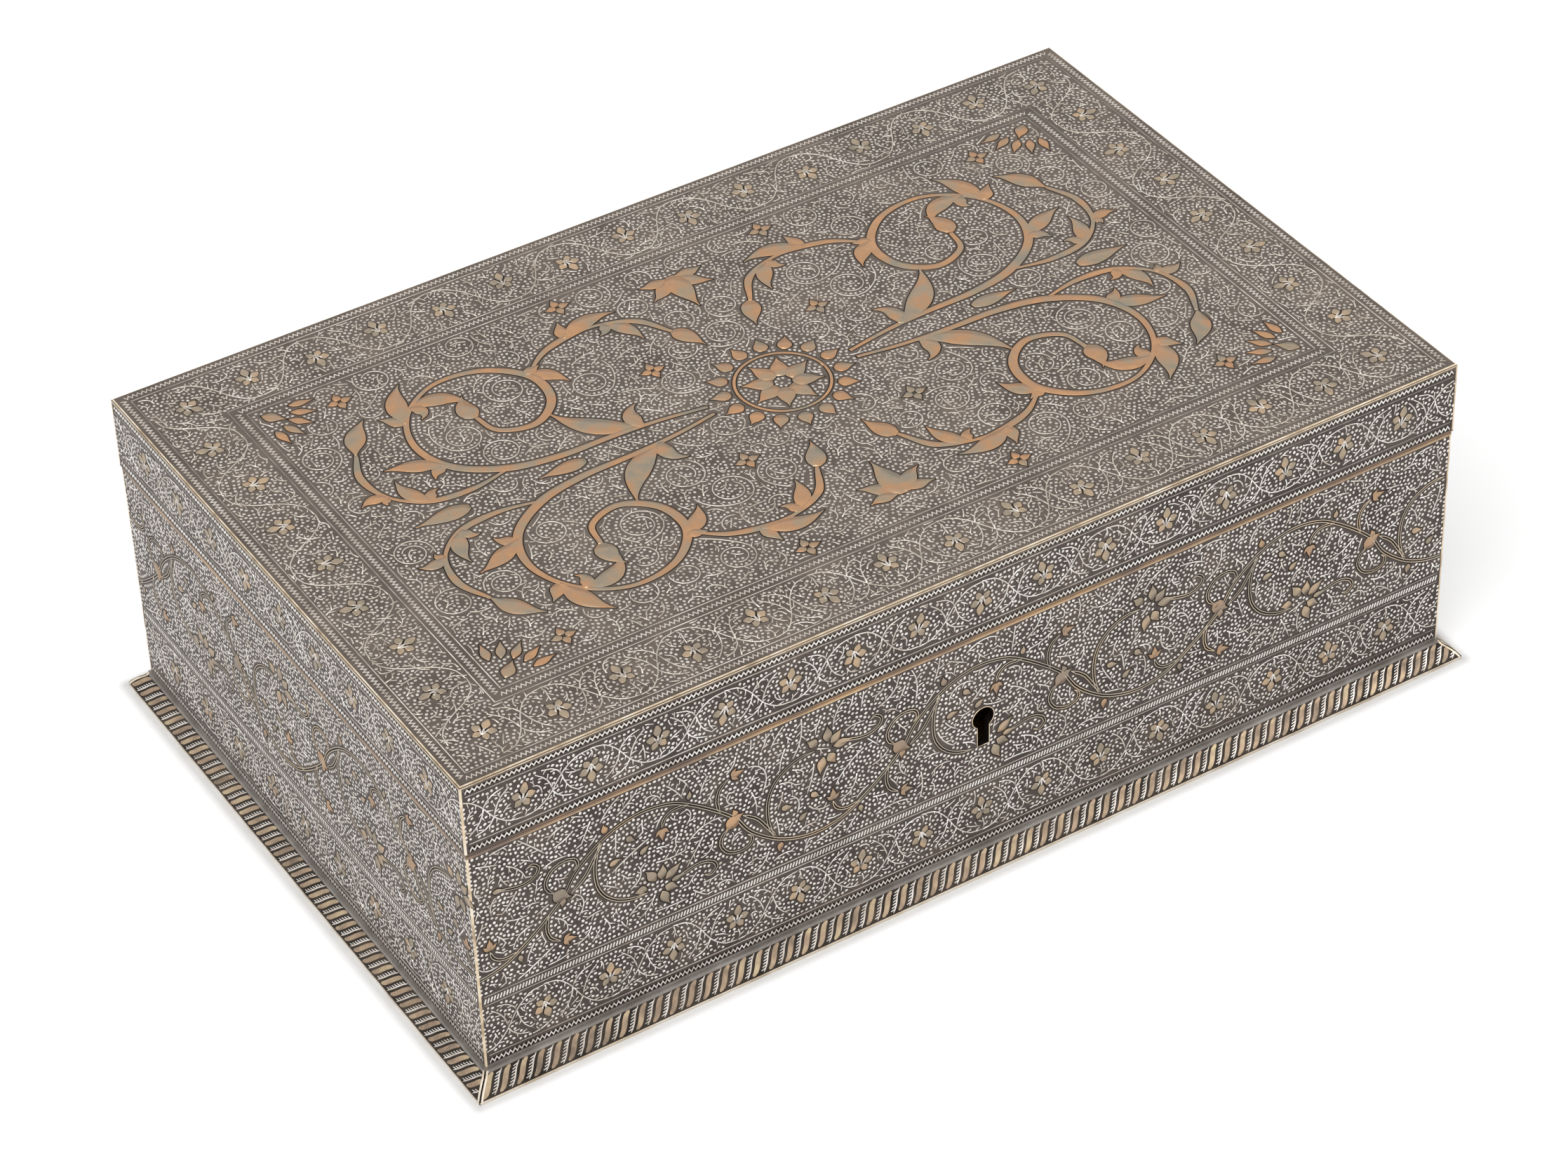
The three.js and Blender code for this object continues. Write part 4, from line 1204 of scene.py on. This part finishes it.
def quarter_of_vines(sheet, place):
    """One quarter, drawn from the middle outwards; place brings it to its corner of the sheet."""
    vines = [(curve(knots, 0.9), wide) for knots, wide in VINES]
    for path, wide in vines:
        set_leaf(sheet, place(path), wide, VINE)
    for vine, share, side, long, wide, lean, bend in SPLIT_LEAVES:
        path = vines[vine][0]
        k = int(share * (len(path) - 1))
        way = heading_at(path, k) + side * lean
        set_leaf(sheet, place(arc(path[k], way, side * bend, long, 0.9)), wide, CRESCENT)
        lobe = arc(path[k], way + side * 0.75, side * (bend + 0.9), long * 0.42, 0.6)
        set_leaf(sheet, place(lobe), wide * 0.72, HOOK)
    for vine, bend, long, wide, shape in VINE_ENDS:
        path = vines[vine][0]
        tip = arc(path[-1], heading_at(path, len(path) - 1), bend, long, 0.7)
        set_leaf(sheet, place(tip), wide, shape)
    for x, heading, long, wide in PALMETTE:
        set_leaf(sheet, place(arc((x, 53.5), heading, 0.6, long, 0.7)), wide, CRESCENT)


def ring_of_lobes(sheet, centre, radius, count, length, width, start=0.0, spread=2 * math.pi, shape=DROP):
    """Leaves that point away from a centre, all round or over a spread of angles."""
    for k in range(count):
        angle = start + spread * (k + 0.5) / count
        leaf(sheet, np.array(centre) + radius * towards(angle), angle, length, width, shape=shape)


field = Sheet(width - 2 * FIELD, height - 2 * FIELD)
centre = np.array([field.width, field.height]) / 2
for mirror in ((1, 1), (-1, 1), (1, -1), (-1, -1)):
    quarter_of_vines(field, lambda path: centre + path * mirror)
    for spot in ROSETTES:
        ring_of_lobes(field, centre + np.array(spot) * mirror, 0.5, 4, 3.0, 2.3, math.pi / 4)
for side in (1, -1):
    leaf(field, centre + [0, 54 * side], -side * math.pi / 2, 15, 6.6, shape=DROP)
    for x, length, wide in ((56, 13, 4.6), (88, 15, 5.4)):
        leaf(field, centre + [x * side, 0], math.pi * (side < 0), length, wide, shape=DROP)
ring_of_lobes(field, centre, radius=2.4, count=8, length=8.0, width=4.9)
ring_of_lobes(field, centre, radius=13.6, count=16, length=5.4, width=3.9)
ring = [centre + 12.0 * towards(angle) for angle in np.linspace(0, 2 * math.pi, 90)]
set_leaf(field, np.array(ring), 0.9, (1.0, 1.0))
for x_side, y_side, start in ((1, 1, math.pi), (-1, 1, 1.5 * math.pi), (-1, -1, 0), (1, -1, math.pi / 2)):
    corner = centre + np.array([x_side, y_side]) * (centre - 0.8)
    ring_of_lobes(field, corner, 9.0, 5, 6.4, 2.5, start, math.pi / 2, POINTED)
    ring_of_lobes(field, corner, 2.0, 1, 6.4, 3.6, start, math.pi / 2, POINTED)
field.settle()
print("gold covers", round(field.metal.mean(), 3), "of the lid's middle")

# %% Spirals and dots between them
scrollwork(field, pitch=12.6, radius=5.7, turns=1.45, chance=np.random.default_rng(31))
strew_dots(field)
print("metal covers", round(field.metal.mean(), 3), "before the", len(field.dots), "dots")
field_wires, field_gold = Inlay(), Inlay()
field_parts = {"wires": field_wires, "leaves": field_gold, "outlines": lid["outlines"]}
lay_sheet(field, top_face, FIELD, field_parts, left=FIELD)
# The middle's dots and wires take the same darker silvers: painted shade against the lamp on the top.
for half, name in ((0, "left"), (1, "right")):
    some, dots = Sheet(1, 1), Inlay()
    some.dots = field.dots[(field.dots[:, 0] >= centre[0]) == bool(half)]
    lay_sheet(some, top_face, FIELD, {"dots": dots}, left=FIELD)
    dots.made("lid_middle_silver_dots_" + name, "lid", "silver_inlay", soft_silver, smooth=False)
field_wires.made("lid_middle_silver_wires", "lid", "silver_inlay", silver)
field_gold.made("lid_middle_gold_leaves", "lid", "copper_gold_inlay", copper_gold)
lid["outlines"].made("lid_black_grooves", "lid", "inlaid_steel", black_groove)

# %% [markdown]
# ## The body
# Under the lid's edge come the dots at once; then the great scroll on its ground of silver curls, a thin
# line, a rope, a line, the floral band, a line and a zigzag, and a bare strip above the foot.

# %% Sheets of the body
FIELD_LOW, FIELD_HIGH = 28.3, 70.9
BAND_LOW, BAND_HIGH = 9.7, 24.7


def body_field(width, waves, seed, holes=()):
    sheet = Sheet(width, FIELD_HIGH - FIELD_LOW)
    for x, y, radius in holes:
        sheet.hole(x, y, radius)
    great_scroll(sheet, waves, 19.8)
    coral(sheet, spacing=2.1, longest=15.0, chance=np.random.default_rng(seed), least=4.0)
    coral(sheet, spacing=1.3, longest=6.0, chance=np.random.default_rng(seed + 1))
    strew_dots(sheet)
    print("metal covers", round(sheet.metal.mean(), 3), "before the", len(sheet.dots), "dots")
    return sheet


KEYHOLE = (body_long, 46.0)
slot = [(body_long, KEYHOLE[1] - FIELD_LOW - drop, 1.75) for drop in (3, 4.5, 6, 7)]
round_part = [(body_long, KEYHOLE[1] - FIELD_LOW, 3.15)]
front_field = body_field(2 * body_long, waves=6, seed=41, holes=round_part + slot)
back_field = body_field(2 * body_long, waves=6, seed=41)
end_field = body_field(2 * body_short, waves=4, seed=43)
long_foot = floral_band(2 * body_long, BAND_HIGH - BAND_LOW, count=15, first=16.8, pitch=17.5,
                        starts_down=False, seed=51)
short_foot = floral_band(2 * body_short, BAND_HIGH - BAND_LOW, count=9, first=16.9, pitch=17.6,
                         starts_down=False, seed=52)
print("dots on the front:", len(front_field.dots))

# %% Lay the body's sheets
grounds = {"front_back": (Inlay(), Inlay()), "ends": (Inlay(), Inlay())}
scroll = {part: Inlay() for part in ("stems", "leaves", "buds", "outlines")}
band = {part: Inlay() for part in ("wires", "lines", "ropes", "dots", "flowers")}
band["outlines"] = scroll["outlines"]
for name, face in body_sides.items():
    hidden = [(left, rim_top - HINGE_HIGH, right, 99) for left, right in HINGES] if name == "back" else ()
    ground = {"front": front_field, "back": back_field}.get(name, end_field)
    wires, dots = grounds["front_back" if name in ("front", "back") else "ends"]
    lay_sheet(ground, face, FIELD_LOW, {**scroll, "wires": wires, "dots": dots}, hidden)
    lay_sheet(long_foot if name in ("front", "back") else short_foot, face, BAND_LOW, band)
    ends = (EDGE_GAP, face.width - EDGE_GAP)
    for z in (27.8, 25.0, 9.3):
        straight(band["lines"], face, (ends[0], z), (ends[1], z))
    rope(band["ropes"], face, low=25.7, height=1.4, pitch=0.84, left=EDGE_GAP, right=face.width - 1.8)
    row_of_teeth(band["ropes"], scroll["outlines"], face, *ends, low=6.7, height=1.85, pitch=1.22)
for where, (wires, dots) in grounds.items():
    wires.made("body_silver_sprays_" + where, "casket_body", "silver_inlay", spray_silver)
silver_made(band, "body_band_silver_", "casket_body", {"wires": spray_silver, "lines": dull_silver,
                                                       "ropes": bright_silver, "dots": dot_silver})
for where, (wires, dots) in grounds.items():
    dots.made("body_silver_dots_" + where, "casket_body", "silver_inlay", dot_silver, smooth=False)
scroll["stems"].made("body_gold_scroll", "casket_body", "copper_gold_inlay", scroll_gold)
scroll["leaves"].made("body_gold_scroll_leaves", "casket_body", "gold_inlay", leaf_gold)
scroll["buds"].made("body_gold_scroll_buds", "casket_body", "copper_gold_inlay", bud_gold)
band["flowers"].made("body_gold_flowers", "casket_body", "gold_inlay", leaf_gold)
scroll["outlines"].made("body_black_grooves", "casket_body", "inlaid_steel", black_groove)

# %% [markdown]
# ## Gold edges
# Every edge is bound with thin gold. Along the lid's rounded top edge lies a narrow strip: a slab of the
# lid's outline is bevelled like the steel, only the middle of its bevel is kept, and Solidify gives it
# thickness. On the upright faces a line is a ring cut from a slab whose middle is taken out. The same ring
# makes the bare strips of steel above the foot and on its ledge.


# %% Gold on the rounded edge of the lid
def slab(name, half_long, half_short, low, high, x=0, y=0):
    """An upright box, half as long and as wide as given, about an upright axis at x, y."""
    deselect_all()
    bpy.ops.mesh.primitive_cube_add(size=1, location=(x * MM, y * MM, (low + high) / 2 * MM),
                                    scale=(2 * half_long * MM, 2 * half_short * MM, (high - low) * MM))
    bpy.ops.object.transform_apply()
    bpy.context.object.name = name
    return bpy.context.object


def ends_of(edge):
    """Where the two ends of an edge lie, in mm."""
    return [bpy.context.object.data.vertices[k].co / MM for k in edge.vertices]


PROUD = 0.04
edge = slab("lid_top_gold_edge", lid_long + PROUD, lid_short + PROUD, lid_top - 2, lid_top + PROUD)
mode("EDIT")
select_where(lambda face: face.normal.z > 0.9, "FACE")
bpy.ops.mesh.select_mode(type="EDGE")
bpy.ops.mesh.bevel(offset=(0.6 + PROUD) * MM, segments=8, affect="EDGES")
select_where(lambda face: not 0.22 < face.normal.z < 0.95, "FACE")
bpy.ops.mesh.delete(type="FACE")
mode("OBJECT")
solid = edge.modifiers.new("thickness", "SOLIDIFY")
solid.thickness = 0.12 * MM
solid.offset = -1
bpy.ops.object.modifier_apply(modifier="thickness")
bpy.ops.object.shade_smooth_by_angle(angle=math.radians(40))
finished(edge, "lid", line_gold)


# %% Flat lines round the lid, the body and the ledge of the foot
def line_round(name, outline, low, high, body, finish, proud=PROUD, thick=0.4):
    """A ring round a box of this outline (half its length, half its width), from low to high."""
    ring = slab(name, outline[0] + proud, outline[1] + proud, low, high)
    mode("EDIT")
    select_where(lambda face: abs(face.normal.z) > 0.99, "FACE")
    bpy.ops.mesh.inset(thickness=thick * MM, depth=0)
    bpy.ops.mesh.delete(type="ONLY_FACE")
    inner_long, inner_short = outline[0] - thick / 2, outline[1] - thick / 2
    select_where(lambda edge: all(abs(end.x) < inner_long and abs(end.y) < inner_short
                                  for end in ends_of(edge)), "EDGE")
    bpy.ops.mesh.bridge_edge_loops()
    bpy.ops.mesh.select_all(action="SELECT")
    bpy.ops.mesh.normals_make_consistent(inside=False)
    mode("OBJECT")
    return finished(ring, body, finish)


LEDGE = 0.6
lid_outline, body_outline = (lid_long, lid_short), (body_long, body_short)
ledge_outline = (body_long + LEDGE, body_short + LEDGE)
# The two strips at the joint of lid and body take the brown strip gold, painted shade of the joint.
line_round("lid_bottom_gold_line", lid_outline, lid_bottom + 0.02, lid_bottom + 0.4, "lid", strip_gold_painted_joint_shade)
line_round("body_rim_gold_strip", body_outline, rim_top - 0.6, rim_top - 0.02, "casket_body", strip_gold_painted_joint_shade)
line_round("body_rim_gold_line", body_outline, rim_top - 0.98, rim_top - 0.62, "casket_body", rim_gold)
line_round("body_bare_strip", body_outline, foot_top + 0.05, foot_top + 0.8, "casket_body", bare_steel,
           0.02)
line_round("foot_ledge_strip", ledge_outline, foot_top, foot_top + 0.03, "casket_body", bare_steel,
           0.0, 0.57)


# %% Gold down the corners
def corner_strips(name, half_long, half_short, low, high, body, half_wide=0.25):
    """Four thin posts let into the corners; only their rounded outer edges show."""
    strips = []
    for x_side in (1, -1):
        for y_side in (1, -1):
            corner_x, corner_y = x_side * (half_long + PROUD), y_side * (half_short + PROUD)
            x, y = x_side * (half_long + PROUD - half_wide), y_side * (half_short + PROUD - half_wide)
            strips.append(slab(name, half_wide, half_wide, low, high, x, y))
            mode("EDIT")
            select_where(lambda edge: all(abs(end.x - corner_x) < 0.05 and abs(end.y - corner_y) < 0.05
                                          for end in ends_of(edge)), "EDGE")
            bpy.ops.mesh.bevel(offset=0.12 * MM, segments=2, affect="EDGES")
            mode("OBJECT")
    return finished(joined(strips), body, line_gold)


corner_strips("lid_corner_gold", *lid_outline, lid_bottom + 0.42, lid_top - 0.62, "lid")
corner_strips("body_corner_gold", *body_outline, foot_top + 0.05, rim_top - 0.97, "casket_body")

# %% [markdown]
# ## Keyhole
# The keyhole has a narrow gold outline, a wire bent round it.

# %% Keyhole wire
keyhole_wire = Inlay()
round_half, slot_half, slot_low = 3.16, 1.76, -8.46
turn_in = math.asin(slot_half / round_half)
angles = np.linspace(-math.pi / 2 - turn_in, -5 * math.pi / 2 + turn_in, 33)
outline = [(round_half * math.cos(a), round_half * math.sin(a)) for a in angles]
outline = [(0, slot_low), (-slot_half, slot_low)] + outline + [(slot_half, slot_low), (0, slot_low)]
keyhole_wire.bar(body_sides["front"], np.array(outline) + np.array(KEYHOLE), 0.28, 0.07)
keyhole_wire.made("keyhole_gold_wire", "casket_body", "gold_inlay", line_gold)

# %% [markdown]
# ## The barred foot
# Above the foot a bare strip of steel runs down over its hollow. The moulding itself is barred with short
# slanting strokes that follow its section: a broad gold one, then a silver one with a comb of small teeth
# on its left. The section is read from the CAD node. A stroke is drawn on the unrolled moulding, copied
# along each side and cut at the mitres, where two gold wires meet; a gold line runs along the nose, so pale
# that it is a painted highlight of the foot's lower edge as well.

# %% The section of the foot
corners = np.array([corner.co for corner in nodes["plinth_front"].data.vertices]) / MM
section = np.unique(np.round(np.stack([-corners[:, 1] - body_short, corners[:, 2]], 1), 3), axis=0)
section = section[section[:, 0] > 0.5]
section = section[np.argsort(-section[:, 1], kind="stable")]
down = np.concatenate([[0], np.cumsum(np.linalg.norm(np.diff(section, axis=0), axis=1))])
print("section of the foot:", len(section), "points,", round(down[-1], 2), "mm from ledge to table")


def on_section(at):
    """How far out and how high the section is, that far down it, and its outward direction there."""
    spot = np.stack([np.interp(at, down, section[:, 0]), np.interp(at, down, section[:, 1])], 1)
    below, above = (np.stack([np.interp(at + shift, down, section[:, k]) for k in (0, 1)], 1)
                    for shift in (0.1, -0.1))
    run = below - above
    run /= np.linalg.norm(run, axis=1)[:, None]
    return spot, np.stack([-run[:, 1], run[:, 0]], 1)


class FootSide:
    """A face like the others, but rolled over the section: its height is the way up the moulding."""

    def __init__(self, flat):
        self.name, self.flat, self.width = flat.name + "_foot", flat, flat.width

    def place(self, points):
        spot, out = on_section(down[-1] - points[:, 1])
        level = spot + out * points[:, 2:]
        reach_there = level[:, 0] - MITRE_GAP
        along = np.clip(points[:, 0], -reach_there, self.width + reach_there)
        return self.flat.place(np.stack([along, level[:, 1], level[:, 0]], 1))


MITRE_GAP = 0.2
foot_sides = [FootSide(face) for face in body_sides.values()]

# %% Strokes of the foot
BARS_FROM, BARS_TO = 0.85, 6.0  # mm down the section
BAR_PITCH, LEAN, COMB = 2.31, 4.2, 9
GOLD_BAR, SILVER_BAR, SILVER_SHIFT = 1.75, 0.62, 0.42


def stroke(x, width, rows):
    """A slanting stroke with a little sway, from the hollow down to the nose."""
    t = np.linspace(0, 1, rows)
    along = x - LEAN * (t - 0.5) - 0.16 * np.sin(2 * math.pi * t)
    height = down[-1] - BARS_FROM - (BARS_TO - BARS_FROM) * t
    return np.stack([along, height], 1), width * np.clip(6 * np.minimum(t, 1 - t) + 0.5, 0, 1)


def cut_at_mitres(path, widths, side):
    out = on_section(down[-1] - path[:, 1])[0][:, 0]
    inside = (path[:, 0] > 0.4 - out) & (path[:, 0] < side.width + out - 0.4)
    return path[inside], widths[inside]


gold_bars, silver_bars, silver_combs = Inlay(), Inlay(), Inlay()
foot_strips, foot_gold_wires_and_nose_highlight = Inlay(), Inlay()
across = np.array([1.0, 0.0])
for side in foot_sides:
    count = int((side.width + 14) / BAR_PITCH)
    for k in range(count):
        x = (side.width - (count - 1) * BAR_PITCH) / 2 + k * BAR_PITCH
        inlay, wide, shift = ((gold_bars, GOLD_BAR, 0.0), (silver_bars, SILVER_BAR, SILVER_SHIFT))[k % 2]
        path, widths = cut_at_mitres(*stroke(x + shift, wide, 12), side)
        if len(path) > 2:
            inlay.bar(side, path, widths, 0.07, side=across)
        if k % 2:
            for tooth in cut_at_mitres(*stroke(x - 0.3, 0.5, COMB), side)[0][1:-1]:
                silver_combs.bar(side, np.array([tooth - [0.45, 0.14], tooth + [0.65, 0.1]]), 0.32, 0.06)

# %% Bare strip, nose line with a painted highlight, and mitre wires
for side in foot_sides:
    # The second band is the nose's gold line, painted nearly white as the highlight of the foot's lower
    # edge.
    for inlay, low, high in ((foot_strips, down[-1] - 0.8, down[-1] - 0.02), (foot_gold_wires_and_nose_highlight, 0.08, 1.15)):
        rows = np.linspace(high, low, 6)
        path = np.stack([np.full(6, side.width / 2), rows], 1)
        inlay.bar(side, path, side.width + 20, 0.03, side=across)
    for end, way in ((0, -1), (side.width, 1)):
        rows = np.linspace(down[-1] - 0.1, 0.1, 12)
        out = on_section(down[-1] - rows)[0][:, 0]
        foot_gold_wires_and_nose_highlight.bar(side, np.stack([end + way * (out - 0.62), rows], 1), 0.75, 0.09, side=across)
gold_bars.made("foot_gold_bars", "casket_body", "gold_inlay", bar_gold, smooth=False)
silver_bars.made("foot_silver_bars", "casket_body", "silver_inlay", soft_silver, smooth=False)
silver_combs.made("foot_silver_combs", "casket_body", "silver_inlay", bright_silver, smooth=False)
foot_strips.made("foot_bare_strips", "casket_body", "plain_steel", bare_steel, smooth=False)
foot_gold_wires_and_nose_highlight.made("foot_gold_edges_and_nose_highlight", "casket_body", "gold_inlay", gold_and_painted_nose_highlight, smooth=False)

# %% [markdown]
# ## Floor, light and camera
# The casket stands on a plain white floor. A wide soft lamp above to the left gives the light of the
# photograph, the world fills the rest. White is for the camera and for the reflections in the metal; what
# the world gives as light is a plain grey. The floor's own glow fades out within a few millimetres of the
# foot, which paints a narrow contact shadow round it: partly the real shadow, no longer washed out by the
# glow, and partly painted shade where the glow is taken away.

# %% Floor
GLOW, MIRRORED_GLOW, CONTACT_SHADOW_REACH = 0.41, 0.83, 0.0038
floor_mesh = bpy.data.meshes.new("floor")
floor_mesh.from_pydata([(-6, -6, 0), (6, -6, 0), (6, 6, 0), (-6, 6, 0)], [], [(0, 1, 2, 3)])
floor = placed("floor", floor_mesh)
white, tree, shader = new_finish("white_floor", {"Base Color": (0.82, 0.82, 0.82, 1), "Roughness": 0.9,
                                                 "Specular IOR Level": 0.0})
place = add_node(tree, "TexCoord")
apart = add_node(tree, "VectorMath", operation="ABSOLUTE")
beyond = add_node(tree, "VectorMath", {1: (cad_box[1] - cad_box[0]) / 2}, operation="SUBTRACT")
outside = add_node(tree, "VectorMath", operation="MAXIMUM")
distance = add_node(tree, "VectorMath", operation="LENGTH")
# The glow fades in from the box's outline: painted shade in a narrow band round the foot, over the real
# contact shadow.
fade = add_node(tree, "MapRange", {"From Max": CONTACT_SHADOW_REACH, "To Max": GLOW}, interpolation_type="SMOOTHSTEP")
seen = add_node(tree, "LightPath")
mirrored = add_node(tree, "Math", {1: MIRRORED_GLOW}, operation="MULTIPLY")
either = add_node(tree, "Math", operation="MAXIMUM")
share = add_node(tree, "Math", operation="MULTIPLY")
glow = add_node(tree, "Emission", {"Color": (1, 1, 1, 1)})
both = add_node(tree, "AddShader")
join_nodes(tree, (place, "Object", apart, 0), (apart, "Vector", beyond, 0), (beyond, "Vector", outside, 0),
           (outside, "Vector", distance, 0), (distance, "Value", fade, "Value"),
           (seen, "Is Glossy Ray", mirrored, 0), (seen, "Is Camera Ray", either, 0),
           (mirrored, "Value", either, 1), (either, "Value", share, 0), (fade, "Result", share, 1),
           (share, "Value", glow, "Strength"), (shader, "BSDF", both, 0), (glow, "Emission", both, 1),
           (both, "Shader", tree.nodes["Material Output"], "Surface"))
floor_mesh.materials.append(white)

# %% World
world = bpy.data.worlds.new("studio")
bpy.context.scene.world = world
world.use_nodes = True
tree = world.node_tree
background = tree.nodes["Background"]
background.inputs["Color"].default_value = (1, 1, 1, 1)
seen = add_node(tree, "LightPath")
shown = add_node(tree, "Math", operation="MAXIMUM")
through = add_node(tree, "Math", operation="MAXIMUM")
level = add_node(tree, "MapRange", {"To Min": 0.55, "To Max": 1.0})
join_nodes(tree, (seen, "Is Camera Ray", shown, 0), (seen, "Is Glossy Ray", shown, 1),
           (shown, "Value", through, 0), (seen, "Is Transmission Ray", through, 1),
           (through, "Value", level, "Value"), (level, "Result", background, "Strength"))


# %% Lamps
def soft_lamp(name, place, size, watts):
    """A round lamp that looks at the middle of the casket."""
    light = bpy.data.lights.new(name, "AREA")
    light.shape = "DISK"
    light.size = size
    light.energy = watts
    lamp = placed(name, light)
    lamp.location = place
    lamp.rotation_euler = (Vector((0, 0, 0.05)) - Vector(place)).to_track_quat("-Z", "Y").to_euler()


soft_lamp("key", (-0.9, -0.7, 1.7), 1.2, 16)
soft_lamp("fill", (1.3, -1.2, 0.9), 1.0, 4)

# %% [markdown]
# ## Camera
# The lens and the place were found by fitting the corners of the lid, the body and the foot in the
# photograph: a long lens, a little over a metre away, turned to show the front and the left end.

# %% Camera
PHOTO_WIDTH = 2235
FOCAL_PIXELS = 6883.76
AZIMUTH, ELEVATION, ROLL = (math.radians(angle) for angle in (-30.9645, 38.7505, -2.1020))
STAND = (-0.4916049, -0.8164053, 0.7954246)
lens = bpy.data.cameras.new("camera")
lens.sensor_fit = "HORIZONTAL"
lens.sensor_width = 36.0
lens.lens = FOCAL_PIXELS / PHOTO_WIDTH * lens.sensor_width
lens.clip_start = 0.05
camera = placed("camera", lens)
backward = Vector((math.sin(AZIMUTH) * math.cos(ELEVATION), -math.cos(AZIMUTH) * math.cos(ELEVATION),
                   math.sin(ELEVATION)))
rightward = Vector((0, 0, 1)).cross(backward).normalized()
upward = backward.cross(rightward)
level_x = rightward * math.cos(ROLL) + upward * math.sin(ROLL)
level_y = upward * math.cos(ROLL) - rightward * math.sin(ROLL)
turn = Matrix((level_x, level_y, backward)).transposed().to_4x4()
camera.matrix_world = Matrix.Translation(STAND) @ turn
bpy.context.scene.camera = camera
bpy.context.scene.view_settings.view_transform = "Standard"
print("lens", round(lens.lens, 2), "mm")
